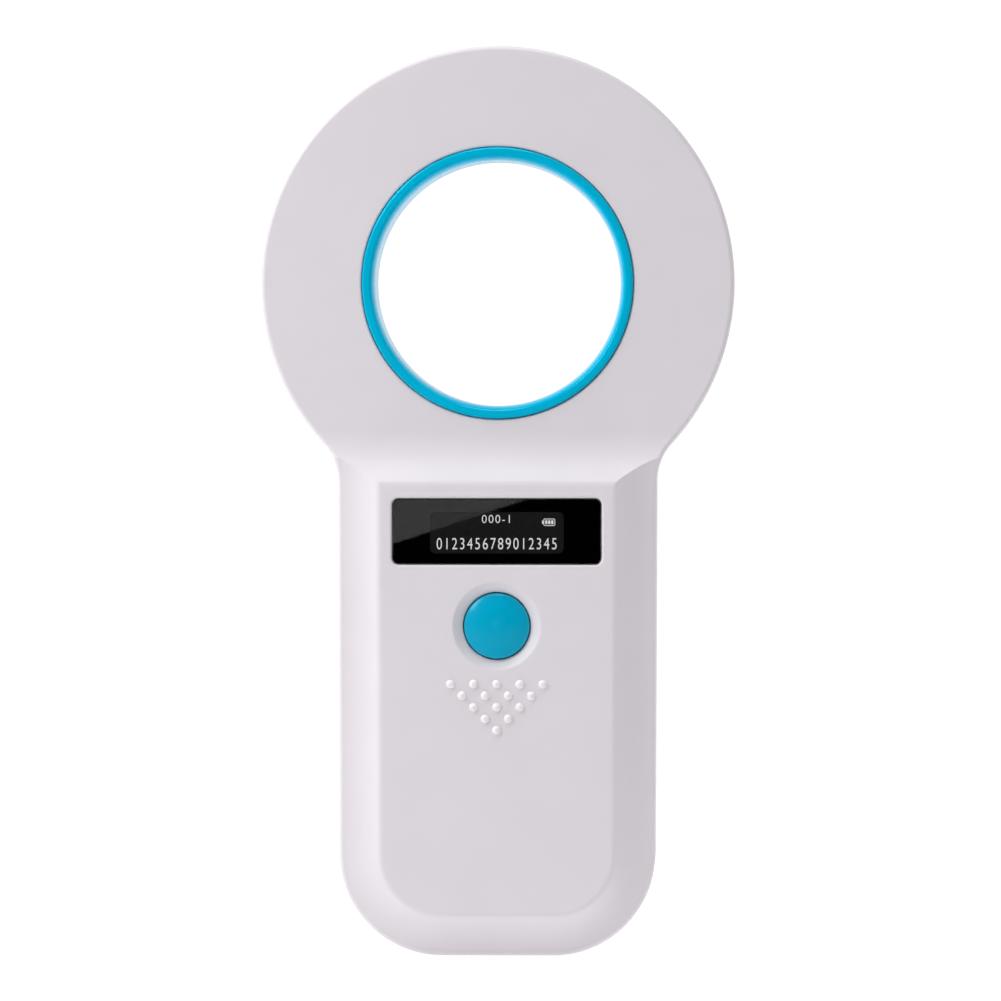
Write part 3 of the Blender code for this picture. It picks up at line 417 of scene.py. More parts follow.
def opening(outline_at, y_out, y_in, rounding):
    """A pocket cutter with a rounded mouth in the face at y_out.

    outline_at(grow) gives its outline, grown by so many millimetres.
    """
    rings = [flat_ring(outline_at(rounding), y_out - BEYOND)]
    for left, gained in quarter(FILLET_STEPS):
        rings.append(flat_ring(outline_at(rounding * left), y_out + rounding * gained))
    rings.append(flat_ring(outline_at(0.0), y_in))
    return loft(bmesh.new(), rings)


# ---- housings


Side = namedtuple("Side", "out face raised neck rim profile")


def front_side():
    rim = []
    for left, gained in quarter(RIM_STEPS):
        lost = EDGE_ROUND * left
        rim.append((EDGE_ROUND * gained, -HANDLE_EDGE - lost, lost))
    foot = (EDGE_ROUND, -HANDLE_EDGE)
    run = PLATEAU_INSET - EDGE_ROUND
    rise = HANDLE_EDGE - PLATEAU
    tilt = math.atan2(rise, run) + 4.0 * SIDE_COVE_SAG / math.hypot(run, rise)
    reach = PLATEAU_ROUND * math.tan(tilt / 2.0)
    crest = (PLATEAU_INSET - reach * math.cos(tilt), -PLATEAU - reach * math.sin(tilt))
    profile = sagged(foot, crest, -SIDE_COVE_SAG, PROFILE_STEPS)
    for k in range(1, FILLET_STEPS + 1):
        turn = tilt * (1.0 - k / FILLET_STEPS)
        inset = PLATEAU_INSET + reach - PLATEAU_ROUND * math.sin(turn)
        profile.append((inset, -PLATEAU - PLATEAU_ROUND * (1.0 - math.cos(turn))))
    return Side(-1, -HEAD_FRONT, -PLATEAU, NECK_FRONT, rim, profile)


def back_height(inset):
    """Height of the rear handle's elliptical rounding."""
    across = 1.0 - inset / BACK_ROUND_WIDTH
    return BACK_SIDE + (HALF_DEPTH - BACK_SIDE) * math.sqrt(max(0.0, 1.0 - across**2))


def back_side():
    rim = []
    for left, gained in quarter(RIM_STEPS):
        inset = BACK_RIM_ROUND * gained
        rim.append((inset, back_height(inset), BACK_RIM_ROUND * left))
    first = math.degrees(math.acos(1.0 - BACK_RIM_ROUND / BACK_ROUND_WIDTH))
    profile = []
    for k in range(PROFILE_STEPS + 1):
        turn = math.radians(first + (90.0 - first) * k / PROFILE_STEPS)
        inset = BACK_ROUND_WIDTH * (1.0 - math.cos(turn))
        profile.append((inset, back_height(inset)))
    return Side(1, HEAD_BACK, HALF_DEPTH, NECK_BACK, rim, profile)


def neck_radius(side):
    rise = side.raised - side.face
    run = side.neck[1] - side.neck[0]
    return (run**2 + rise**2) / (2.0 * rise)


def neck_crest(side):
    """Centre of the rounding between neck and raised face, and where it meets the neck's cove."""
    radius = neck_radius(side)
    reach = radius + PLATEAU_ROUND
    high = side.face + reach - side.raised
    centre = Vector((side.neck[1] - math.sqrt(reach**2 - high**2), side.raised - PLATEAU_ROUND))
    cove = Vector((side.neck[1], side.face + radius))
    return centre, centre + (cove - centre) * PLATEAU_ROUND / reach


def neck_height(side, z):
    centre, meet = neck_crest(side)
    if z <= centre.x:
        return side.raised
    if z <= meet.x:
        return centre.y + math.sqrt(PLATEAU_ROUND**2 - (z - centre.x) ** 2)
    if z >= side.neck[1]:
        return side.face
    radius = neck_radius(side)
    return side.face + radius - math.sqrt(radius**2 - (side.neck[1] - z) ** 2)


def neck_z(side, height):
    centre, meet = neck_crest(side)
    if height > meet.y:
        return centre.x + math.sqrt(max(0.0, PLATEAU_ROUND**2 - (height - centre.y) ** 2))
    radius = neck_radius(side)
    return side.neck[1] - math.sqrt(radius**2 - (radius - height + side.face) ** 2)


def station_at(z, inset):
    """A place on the right edge, and its inward direction, whose point at that inset lies at z."""
    if z <= FLARE_AT[1]:
        part = (z - CORNER_R) / (FLARE_AT[1] - CORNER_R)
        x = HALF_WIDTH_BOTTOM + (HALF_WIDTH_TOP - HALF_WIDTH_BOTTOM) * part
        return Vector((x, z)), Vector((-1.0, 0.0))
    rise = (z - FLARE_AT[1]) / (FLARE_R + inset)
    if rise < math.sin(math.radians(FLARE_TURN)):
        inward = Vector((-math.sqrt(1.0 - rise**2), rise))
        return Vector(FLARE_AT) + inward * FLARE_R, inward
    rise = (z - HEAD_Z) / (HEAD_R - inset)
    inward = Vector((-math.sqrt(1.0 - rise**2), -rise))
    return Vector(HEAD_AT) - inward * HEAD_R, inward


def round_stations(centre, radius, start, end, steps):
    places = arc(centre, radius, start, end, steps)
    return [(Vector(place), (Vector(centre) - Vector(place)) / radius) for place in places]


def spaced(low, high, steps):
    return [low + (high - low) * k / steps for k in range(steps + 1)]


def corner_stations():
    return round_stations(CORNER_AT, CORNER_R, -90.0, 0.0, CORNER_STEPS)


def handle_loop(side, inset, height):
    """Contour of the handle's raised part at one height, closed across the neck."""
    points = [place + inward * inset for place, inward in corner_stations()]
    for z in spaced(SIDE_TOP, neck_z(side, height), SIDE_STEPS):
        place, inward = station_at(z, inset)
        points.append(place + inward * inset)
    return mirrored([tuple(point) for point in points])


def shell_block(side):
    """One half of the body as a closed solid, from its side wall to its raised handle and head."""
    rim_in = side.rim[-1][0]
    crease = neck_z(side, side.profile[0][1])
    head_turn = math.degrees(math.asin((side.neck[1] - HEAD_Z) / (HEAD_R - rim_in)))
    stations = corner_stations()
    stations += [station_at(z, rim_in) for z in spaced(SIDE_TOP, crease, SIDE_STEPS)]
    handle_end = len(stations) - 1
    stations += [station_at(z, rim_in) for z in spaced(crease, side.neck[1], NECK_STEPS)[1:]]
    neck_end = len(stations) - 1
    stations += round_stations(HEAD_AT, HEAD_R, head_turn, 90.0, HEAD_STEPS)[1:]
    last = 2 * len(stations) - 2
    bm = bmesh.new()

    def outline_ring(inset, height_at):
        points = [place + inward * inset for place, inward in stations]
        points += [Vector((-point.x, point.y)) for point in reversed(points[:-1])]
        return [bm.verts.new((point.x, side.out * height_at(point.y), point.y)) for point in points]

    def rim_height(z, handle_height, lost):
        return min(handle_height, neck_height(side, z) - lost)

    rings = []
    for left, gained in quarter(PARTING_STEPS):
        level = PARTING + PARTING_ROUND * gained
        rings.append(outline_ring(PARTING_ROUND * left, lambda z, level=level: level))
    for inset, handle_height, lost in side.rim:
        height_at = partial(rim_height, handle_height=handle_height, lost=lost)
        rings.append(outline_ring(inset, height_at))
    bm.faces.new(rings[0])
    for one, two in zip(rings, rings[1:]):
        skin(bm, one, two)
    inner = rings[-1]
    for i in range(handle_end, neck_end):
        bm.faces.new((inner[i], inner[i + 1], inner[last - i - 1], inner[last - i]))
    bm.faces.new(inner[neck_end : last - neck_end + 1])
    loop = inner[: handle_end + 1] + inner[last - handle_end :]
    for inset, height in side.profile[1:]:
        contour = handle_loop(side, inset, height)
        after = [bm.verts.new((x, side.out * height, z)) for x, z in contour]
        skin(bm, loop, after)
        loop = after
    bm.faces.new(loop)
    return bm


def full_outline(inset):
    """The whole body seen from the front."""
    half = arc(CORNER_AT, CORNER_R - inset, -90.0, 0.0, CORNER_STEPS)
    half += arc(FLARE_AT, FLARE_R + inset, 180.0, 180.0 - FLARE_TURN, CORNER_STEPS // 2)
    head = arc(HEAD_AT, HEAD_R - inset, -FLARE_TURN, 90.0, HEAD_STEPS)
    return mirrored(half + head[1:-1])


def handle_outline(inset):
    """The handle with its flared neck, squared off inside the head."""
    half = arc(CORNER_AT, CORNER_R - inset, -90.0, 0.0, INNER_CORNER_STEPS)
    half += arc(FLARE_AT, FLARE_R + inset, 180.0, 180.0 - FLARE_TURN, INNER_FLARE_STEPS)
    return mirrored(half + [(half[-1][0] - NECK_TUCK, NECK_TOP)])


def neck_room(side):
    """Wedge above the concave neck that the hollow keeps out of, one wall thickness deep."""
    radius = neck_radius(side)
    reach = radius + WALL
    first = math.degrees(math.asin((radius - side.raised + side.face + WALL) / reach))
    cove = []
    for z, drop in arc((side.neck[1], 0.0), reach, 180.0 + first, 270.0, INNER_NECK_STEPS):
        cove.append((z, side.out * (side.face + radius + drop)))
    far = side.out * 30.0
    under = cove[-1][1] - side.out * 0.4
    outline = [(cove[0][0], far), (cove[0][0], side.out * (side.raised - WALL))] + cove[1:]
    outline += [(side.neck[1] + 0.01, under), (NECK_TOP + 1.0, under), (NECK_TOP + 1.0, far)]
    return loft(bmesh.new(), [[(x, y, z) for z, y in outline] for x in (-HEAD_R, HEAD_R)])


def hollow(side, levels, start):
    """The space inside one housing; levels are (inset, height) points, parting plane first."""
    rings = [flat_ring(handle_outline(inset), side.out * height) for inset, height in levels]
    space = to_mesh_object("space", loft(bmesh.new(), rings))
    head_low = side.out * start
    head_high = side.out * (side.face - WALL)
    head = cylinder(HEAD_AT, HEAD_R - WALL, head_low, head_high, ROUND_SEGMENTS)
    combine(space, [(CUT, neck_room(side)), (ADD, head)])
    bm = bmesh.new()
    bm.from_mesh(space.data)
    bmesh.ops.scale(bm, verts=bm.verts, vec=(1.0 / MM, 1.0 / MM, 1.0 / MM))
    bpy.data.objects.remove(space, do_unlink=True)
    return bm


def coil_ribs(y_low, y_high):
    """Radial ribs that carry the antenna coil."""
    bm = bmesh.new()
    for angle in RIB_ANGLES:
        turn = Matrix.Rotation(math.radians(angle), 2)
        outline = []
        for out, side in ((-1, -1), (1, -1), (1, 1), (-1, 1)):
            edge = COIL_R[1] if out > 0 else COIL_R[0]
            corner = Vector((edge + out * RIB_OVERHANG, side * RIB_HALF_WIDTH))
            outline.append(tuple(turn @ corner + Vector(HEAD_AT)))
        prism(outline, y_low, y_high, bm)
    return bm


def front_bosses():
    bm = bmesh.new()
    for x, z in HOUSING_SCREWS:
        start = HEAD_FRONT + ROOTED if z > NECK_FRONT[1] else HANDLE_EDGE + BOSS_ROOTED
        cylinder((x, z), BOSS_R, start, BOSS_END, bm=bm)
    for x, z in BOARD_SCREWS:
        cylinder((x, z), POST_R, PLATEAU + ROOTED, BOARD_FRONT - POST_GAP, bm=bm)
    return bm


def front_pilots():
    bm = bmesh.new()
    for x, z in HOUSING_SCREWS:
        cylinder((x, z), PILOT_R, PILOT_END, 1.0, bm=bm)
    for x, z in BOARD_SCREWS:
        cylinder((x, z), PILOT_R, PLATEAU + WALL, BOARD_FRONT + 1.0, bm=bm)
    return bm


def rim_rebate():
    """Step round the front housing's edge, which takes the rear housing's lip."""
    return band(full_outline(REBATE_OUT), full_outline(REBATE_IN), -REBATE_DEEP, 1.2)


def ring_seat():
    """Stepped hole for the ring, with a rounded mouth."""
    outer = FLANGE_R + FLANGE_FIT
    sleeve = SLEEVE_R + RING_FIT
    profile = [(outer + SEAT_ROUND, HEAD_FRONT - BEYOND)]
    for left, gained in quarter(FILLET_STEPS):
        profile.append((outer + SEAT_ROUND * left, HEAD_FRONT + SEAT_ROUND * gained))
    profile += [(outer, FLANGE_SEAT), (sleeve, FLANGE_SEAT), (sleeve, 5.0)]
    return turned(profile, HEAD_AT, HOLE_SEGMENTS)


def button_seat():
    """Shallow bowl round the button, and the hole that the cap slides in."""
    hole = BUTTON_R + BUTTON_FIT
    outer = DISH_R + DISH_RIM_ROUND * math.tan(math.radians(DISH_RIM_STEEP / 2.0))
    profile = [(outer + 0.01, PLATEAU - BEYOND), (outer + 0.01, PLATEAU)]
    for k in range(1, FILLET_STEPS + 1):
        turn = math.radians(DISH_RIM_STEEP * k / FILLET_STEPS)
        radius = outer - DISH_RIM_ROUND * math.sin(turn)
        profile.append((radius, PLATEAU + DISH_RIM_ROUND * (1.0 - math.cos(turn))))
    low = (hole + 0.1, PLATEAU + DISH_DEEP)
    profile += sagged(profile[-1], low, DISH_SAG, 10)[1:]
    profile += [(hole, PLATEAU + DISH_DEEP + 0.1), (hole, THROUGH_FACE)]
    return turned(profile, (0.0, BUTTON_Z))


def usb_opening():
    """Cut-out in the bottom end, with its outer edge eased."""
    rings = []
    for z, grow in ((-2.0, USB_CUT_EASE), (0.0, USB_CUT_EASE), (USB_CUT_EASE, 0.0), (3.0, 0.0)):
        rings.append([(x, y, z) for x, y in grown_rect(USB_CUT, grow, USB_CUT_RADIUS, (0.0, USB_Y))])
    return loft(bmesh.new(), rings)


def grip_dots():
    """Small domes in a triangle that points down."""
    bm = bmesh.new()
    for row in range(DOT_ROWS):
        count = DOT_ROWS - row
        for k in range(count):
            centre = ((k - (count - 1) / 2.0) * DOT_PITCH_X, DOT_TOP_Z - row * DOT_PITCH_Z)
            profile = [(DOT_R, PLATEAU + 0.3)]
            for step in range(DOT_STEPS + 1):
                turn = math.radians(DOT_RISE * step / DOT_STEPS)
                profile.append((DOT_R * math.cos(turn), PLATEAU - DOT_HIGH * math.sin(turn)))
            turned(profile, centre, SMALL_SEGMENTS, bm=bm)
    return bm


def add_loose(obj, bm):
    """Appends a bmesh in millimetres to an object's mesh, in the second material."""
    for face in bm.faces:
        face.material_index = 1
    bmesh.ops.scale(bm, verts=bm.verts, vec=(MM, MM, MM))
    bmesh.ops.recalc_face_normals(bm, faces=bm.faces)
    bm.from_mesh(obj.data)
    bm.to_mesh(obj.data)
    bm.free()
    return obj


def front_shell():
    side = front_side()
    body = to_mesh_object("front_shell", shell_block(side))
    levels = [(WALL, -1.0), (WALL, -HANDLE_EDGE - WALL), (PLATEAU_INSET + 1.3, -PLATEAU - WALL)]
    pocket = opening(
        lambda grow: grown_rect(LENS_SIZE, LENS_FIT + grow, LENS_RADIUS, LENS_AT),
        PLATEAU,
        PLATEAU + POCKET_DEEP,
        POCKET_ROUND,
    )
    window = rounded_rect(*WINDOW_SIZE, WINDOW_RADIUS, LENS_AT)
    collar = cylinder(HEAD_AT, COLLAR_R, HEAD_FRONT + ROOTED, -PARTING, ROUND_SEGMENTS)
    combine(
        body,
        [
            (CUT, hollow(side, levels, -1.1)),
            (ADD, collar),
            (ADD, front_bosses()),
            (ADD, coil_ribs(HEAD_FRONT + RIB_ROOTED, -COIL_HALF - COIL_GAP)),
            (CUT, rim_rebate()),
            (CUT, front_pilots()),
            (CUT, ring_seat()),
            (CUT, pocket),
            (CUT, prism(window, PLATEAU - 1.5, THROUGH_FACE)),
            (CUT, button_seat()),
            (CUT, usb_opening()),
        ],
    )
    return shade(add_loose(body, grip_dots()))


def rear_bosses():
    bm = bmesh.new()
    for x, z in HOUSING_SCREWS:
        end = HEAD_BACK - ROOTED if z > NECK_BACK[1] else REAR_BOSS_END
        cylinder((x, z), REAR_BOSS_R, PARTING + 0.2, end, bm=bm)
    return bm


def battery_ribs():
    bm = bmesh.new()
    for side in (-1, 1):
        centre = (side * CELL_RIB_X, CELL_Z)
        prism(rounded_rect(*CELL_RIB, CELL_RIB_RADIUS, centre, 2), *CELL_RIB_SPAN, bm)
    return bm


def counterbores():
    """Screw holes with eased mouths; those in the handle open through its rounding."""
    bm = bmesh.new()
    for x, z in HOUSING_SCREWS:
        mouth = HEAD_BACK if z > NECK_BACK[1] else HALF_DEPTH
        wide = COUNTERBORE_R + COUNTERBORE_EASE
        profile = [(CLEARANCE_R, -3.0), (CLEARANCE_R, SCREW_SEAT), (COUNTERBORE_R, SCREW_SEAT)]
        profile += [(COUNTERBORE_R, mouth - COUNTERBORE_EASE), (wide, mouth), (wide, 20.0)]
        turned(profile, (x, z), SMALL_SEGMENTS, bm=bm)
    return bm


def rear_shell():
    side = back_side()
    body = to_mesh_object("rear_shell", shell_block(side))
    levels = [
        (WALL, -2.0),
        (WALL, BACK_SIDE),
        (WALL + BACK_HOLLOW[0], BACK_SIDE + BACK_HOLLOW[1]),
        (WALL + BACK_ROUND_WIDTH, HALF_DEPTH - WALL),
    ]
    sleeve = SLEEVE_R + RING_FIT
    through = turned(
        [(sleeve, -5.0), (sleeve, HEAD_BACK - 0.2), (sleeve + 0.2, HEAD_BACK), (sleeve + 0.2, 10.0)],
        HEAD_AT,
        HOLE_SEGMENTS,
    )
    recess = grown_rect(LABEL_SIZE, LABEL_FIT, LABEL_RADIUS, (0.0, LABEL_Z))
    label = prism(recess, HALF_DEPTH - LABEL_RECESS, 20.0)
    collar = cylinder(HEAD_AT, COLLAR_R, PARTING, HEAD_BACK - ROOTED, ROUND_SEGMENTS)
    combine(
        body,
        [
            (ADD, prism(full_outline(LIP_OUT), -LIP_HIGH, 2.0)),
            (CUT, hollow(side, levels, -2.1)),
            (ADD, collar),
            (ADD, rear_bosses()),
            (ADD, battery_ribs()),
            (ADD, coil_ribs(COIL_HALF + COIL_GAP, HEAD_BACK - RIB_ROOTED)),
            (CUT, counterbores()),
            (CUT, through),
            (CUT, label),
        ],
    )
    return shade(body)


# ---- trim, display and button


def blue_ring():
    """Sleeve through the head, with a flange that curves deep into the hole."""
    across, deep = Vector(RING_MOUTH)
    outer = (FLANGE_R - RING_OUTER_ROUND, RING_FRONT + RING_OUTER_ROUND)
    back = (HOLE_R + RING_BACK_ROUND, HEAD_BACK - RING_BACK_ROUND)
    profile = [(SLEEVE_R, HEAD_BACK), (SLEEVE_R, FLANGE_BACK), (FLANGE_R, FLANGE_BACK)]
    profile += arc(outer, RING_OUTER_ROUND, 0.0, -90.0, FILLET_STEPS)
    for left, gained in quarter(RING_MOUTH_STEPS):
        profile.append((HOLE_R + across * left, RING_FRONT + deep * gained))
    profile += arc(back, RING_BACK_ROUND, 180.0, 90.0, FILLET_STEPS)
    ring = turned(profile, HEAD_AT, HOLE_SEGMENTS, closed=True)
    return shade(to_mesh_object("blue_ring", ring))


def button_cap():
    """Hollow cap: shallow crowned face, rounded shoulder, retaining flange and stem."""
    crown = BUTTON_CROWN_R
    shoulder = BUTTON_SHOULDER
    meet = math.degrees(math.asin((BUTTON_R - shoulder) / (crown - shoulder)))
    profile = []
    for k in range(1, BUTTON_CROWN_STEPS + 1):
        turn = math.radians(meet * k / BUTTON_CROWN_STEPS)
        profile.append((crown * math.sin(turn), -HALF_DEPTH + crown * (1.0 - math.cos(turn))))
    drop = crown - (crown - shoulder) * math.cos(math.radians(meet))
    centre = (BUTTON_R - shoulder, -HALF_DEPTH + drop)
    profile += arc(centre, shoulder, meet - 90.0, 0.0, 10)[1:]
    profile += [
        (BUTTON_R, BUTTON_FLANGE[0]),
        (BUTTON_FLANGE_R, BUTTON_FLANGE[0]),
        (BUTTON_FLANGE_R, BUTTON_FLANGE[1]),
        (BUTTON_CUP_R, BUTTON_FLANGE[1]),
        (BUTTON_CUP_R, BUTTON_CUP_FLOOR),
        (STEM_R, BUTTON_CUP_FLOOR),
        (STEM_R, STEM_END),
    ]
    return shade(to_mesh_object("button_cap", turned(profile, (0.0, BUTTON_Z))))


def lens_plate():
    """Clear plate with eased edges and printed sides."""
    front, back = LENS_SPAN
    ease = LENS_EASE
    rings = []
    for y, grow in ((front, -ease), (front + ease, 0.0), (back - ease, 0.0), (back, -ease)):
        rings.append(flat_ring(grown_rect(LENS_SIZE, grow, LENS_RADIUS, LENS_AT), y))
    plate = shade(to_mesh_object("lens_plate", loft(bmesh.new(), rings)))
    for face in plate.data.polygons:
        face.material_index = int(abs(face.normal.y) < PRINTED_SIDE)
    return plate


def lens_mask():
    """Printed black frame behind the plate, open where the screen shows."""
    width, high = LENS_SIZE
    outer = rounded_rect(width - MASK_FIT, high - MASK_FIT, LENS_RADIUS, LENS_AT)
    inner = rounded_rect(*SCREEN_SIZE, SCREEN_RADIUS, (0.0, SCREEN_Z))
    return shade(to_mesh_object("lens_mask", band(outer, inner, *MASK_SPAN)))


def screen_glass():
    """Front glass of the screen, bonded close behind the mask."""
    width, high = WINDOW_SIZE
    outline = rounded_rect(width - GLASS_FIT, high - GLASS_FIT, GLASS_RADIUS, LENS_AT)
    return shade(to_mesh_object("screen_glass", prism(outline, SCREEN_FRONT, GLASS_BACK)))


def screen_text(name, text, high, narrow, spacing, up):
    """Lit characters on the screen, as LOWER_FIGURES and UPPER_FIGURES list them."""
    curve = bpy.data.curves.new(name, "FONT")
    curve.body = text
    curve.size = high / FIGURE_SHARE
    curve.extrude = FIGURE_THICK
    curve.offset = FIGURE_THINNING
    curve.align_x = "CENTER"
    curve.align_y = "CENTER"
    curve.space_character = spacing
    holder = linked(name + "_curve", curve)
    mesh = evaluated_mesh(holder, name)
    bpy.data.objects.remove(holder, do_unlink=True)
    place = Matrix.Translation((0.0, FIGURES_FRONT * MM, (LENS_Z + up) * MM))
    upright = Matrix.Rotation(math.radians(90.0), 4, "X")
    size = Matrix.Diagonal((MM * narrow, MM, MM, 1.0))
    mesh.transform(place @ upright @ size)
    return linked(name, mesh)


def battery_mark():
    """Lit outline of a cell with three bars."""
    bm = bmesh.new()
    x, z = BATTERY_AT[0], LENS_Z + BATTERY_AT[1]
    width, tall = BATTERY_SIZE
    outer = rounded_rect(width, tall, BATTERY_RADII[0], (x, z), 3)
    inner = rounded_rect(width - BATTERY_LINE, tall - BATTERY_LINE, BATTERY_RADII[1], (x, z), 3)
    band(outer, inner, *MARK_SPAN, bm)
    for k in range(BATTERY_BARS):
        centre = (x - BATTERY_BAR_PITCH + BATTERY_BAR_PITCH * k, z)
        prism(rounded_rect(*BATTERY_BAR, BATTERY_RADII[2], centre, 2), *MARK_SPAN, bm)
    tip = rounded_rect(*BATTERY_TIP, BATTERY_RADII[2], (x + BATTERY_TIP_AT, z), 2)
    prism(tip, *MARK_SPAN, bm)
    return to_mesh_object("battery_mark", bm)


def cross_screw_mesh():
    """Pan-head screw along -Y with a tapered cross recess; its seat is at the origin."""
    profile = [(SCREW_TIP[0], -SCREW_LONG), (SCREW_SHANK_R, SCREW_TIP[1] - SCREW_LONG)]
    profile += [(SCREW_SHANK_R, 0.0), (SCREW_HEAD_R, 0.0)]
    for k in range(SCREW_STEPS + 1):
        turn = math.radians(SCREW_RISE * k / SCREW_STEPS)
        radius = SCREW_CROWN + (SCREW_HEAD_R - SCREW_CROWN) * math.cos(turn)
        profile.append((radius, SCREW_CROWN + (SCREW_HEAD_HIGH - SCREW_CROWN) * math.sin(turn)))
    blank = to_mesh_object("cross_screw", turned(profile, segments=SCREW_SEGMENTS))
    rings = []
    for y, arm, half in CROSS_RECESS:
        outline = []
        for k in range(4):
            turn = Matrix.Rotation(math.radians(90.0 * k), 2)
            corners = ((arm, -half), (arm, half), (half, half))
            outline += [tuple(turn @ Vector(corner)) for corner in corners]
        rings.append(flat_ring(outline, y))
    combine(blank, [(CUT, loft(bmesh.new(), rings))])
    shade(blank)
    mesh = blank.data
    bpy.data.objects.remove(blank, do_unlink=True)
    return mesh


# ---- materials


def node(tree, kind, inputs=None, **settings):
    """A shader node; inputs are sockets to link or values to set."""
    made = tree.nodes.new("ShaderNode" + kind)
    for key, value in settings.items():
        setattr(made, key, value)
    for key, value in (inputs or {}).items():
        if isinstance(value, bpy.types.NodeSocket):
            tree.links.new(value, made.inputs[key])
        else:
            made.inputs[key].default_value = value
    return made


def mixed(tree, factor, one, two):
    """Colour mix; each colour is a socket or an RGB triple."""
    made = node(tree, "Mix", {"Factor": factor}, data_type="RGBA")
    for index, colour in ((6, one), (7, two)):
        if isinstance(colour, bpy.types.NodeSocket):
            tree.links.new(colour, made.inputs[index])
        else:
            made.inputs[index].default_value = (*colour, 1.0)
    return made.outputs[2]


def noise(tree, place, size, detail=3.0, roughness=0.55):
    """Noise whose blotches are about size millimetres across."""
    values = {"Vector": place, "Scale": 1.0 / (size * MM), "Detail": detail, "Roughness": roughness}
    return node(tree, "TexNoise", values).outputs["Fac"]


def ranged(tree, value, low, high, out_low, out_high):
    values = {"Value": value, "From Min": low, "From Max": high, "To Min": out_low, "To Max": out_high}
    return node(tree, "MapRange", values, clamp=True).outputs["Result"]


def edges(tree, reach, low=0.02, high=0.3):
    """1 near sharp edges, 0 on open faces."""
    rounded = node(tree, "Bevel", {"Radius": reach * MM}, samples=6).outputs["Normal"]
    normal = node(tree, "NewGeometry").outputs["Normal"]
    same = node(tree, "VectorMath", {0: rounded, 1: normal}, operation="DOT_PRODUCT").outputs["Value"]
    return ranged(tree, same, 1.0 - low, 1.0 - high, 0.0, 1.0)


def new_surface(name):
    """A new material, its node tree and its shader."""
    made = bpy.data.materials.new(name)
    made.use_nodes = True
    return made, made.node_tree, made.node_tree.nodes["Principled BSDF"]


def adjust(shader, values):
    for key, value in values.items():
        shader.inputs[key].default_value = value


def finish(name, colour, rough, metal=0.0, **look):
    """A procedural surface.

    look: mottle (colour drift), patch (its size), spread (roughness drift), grain (size of the bump),
    bump (its depth, millimetres), wear (edge colour), wear_reach, stretch (scale along each axis),
    pattern (a function that makes colour and height), and the shader's own values in shader.
    """
    made, tree, shader = new_surface(name)
    adjust(shader, {"Metallic": metal, **look.get("shader", {})})
    place = node(tree, "TexCoord").outputs["Object"]
    if "stretch" in look:
        place = node(tree, "Mapping", {"Vector": place, "Scale": look["stretch"]}).outputs["Vector"]
    mottle = look.get("mottle", 0.04)
    patch = look.get("patch", 9.0)
    drift = noise(tree, place, patch)
    dark = tuple(c * (1.0 - mottle) for c in colour)
    light = tuple(min(1.0, c * (1.0 + mottle)) for c in colour)
    tint = mixed(tree, ranged(tree, drift, 0.3, 0.7, 0.0, 1.0), dark, light)
    spread = look.get("spread", 0.05)
    fine = noise(tree, place, patch / 3.0)
    gloss = ranged(tree, fine, 0.3, 0.7, rough - spread, rough + spread)
    if "wear" in look:
        ragged = noise(tree, place, patch / 6.0)
        mask = edges(tree, look.get("wear_reach", 0.25))
        broken = ranged(tree, ragged, 0.35, 0.6, 0.35, 1.0)
        mask = node(tree, "Math", {0: mask, 1: broken}, operation="MULTIPLY").outputs[0]
        tint = mixed(tree, mask, tint, look["wear"])
    pattern = look.get("pattern")
    if pattern:
        tint, height = pattern(tree, place, tint)
    else:
        height = noise(tree, place, look.get("grain", 0.25), 2.0)
    depth = look.get("bump", 0.02) * MM
    bump = node(tree, "Bump", {"Height": height, "Distance": depth, "Strength": 1.0})
    tree.links.new(tint, shader.inputs["Base Color"])
    tree.links.new(gloss, shader.inputs["Roughness"])
    tree.links.new(bump.outputs["Normal"], shader.inputs["Normal"])
    return made


def windings(tree, place, tint):
    """Turns of fine wire wound about the head's axis."""
    axis = (0.0, 0.0, HEAD_Z * MM)
    centred = node(tree, "VectorMath", {0: place, 1: axis}, operation="SUBTRACT").outputs[0]
    values = {"Vector": centred, "Scale": 400.0}
    turns = node(tree, "TexWave", values, wave_type="RINGS", rings_direction="Y").outputs["Fac"]
    return mixed(tree, turns, (0.22, 0.07, 0.03), tint), turns


def traces(tree, place, tint):
    """Copper tracks and pads under green lacquer."""
    values = {"Vector": place, "Scale": 260.0, "Randomness": 0.85}
    gaps = node(tree, "TexVoronoi", values, feature="DISTANCE_TO_EDGE").outputs["Distance"]
    tracks = ranged(tree, gaps, 0.02, 0.06, 1.0, 0.0)
    return mixed(tree, tracks, tint, (0.05, 0.3, 0.12)), tracks


def foam_pores(tree, place, tint):
    """Open foam."""
    pores = node(tree, "TexVoronoi", {"Vector": place, "Scale": 1400.0}).outputs["Distance"]
    shadow = ranged(tree, pores, 0.0, 0.5, 0.6, 0.0)
    return mixed(tree, shadow, tint, (0.45, 0.44, 0.42)), pores


def creases(tree, place, tint):
    """Soft dents of a foil pouch."""
    values = {"Vector": place, "Scale": 160.0}
    dents = node(tree, "TexVoronoi", values, feature="SMOOTH_F1").outputs["Distance"]
    return tint, dents


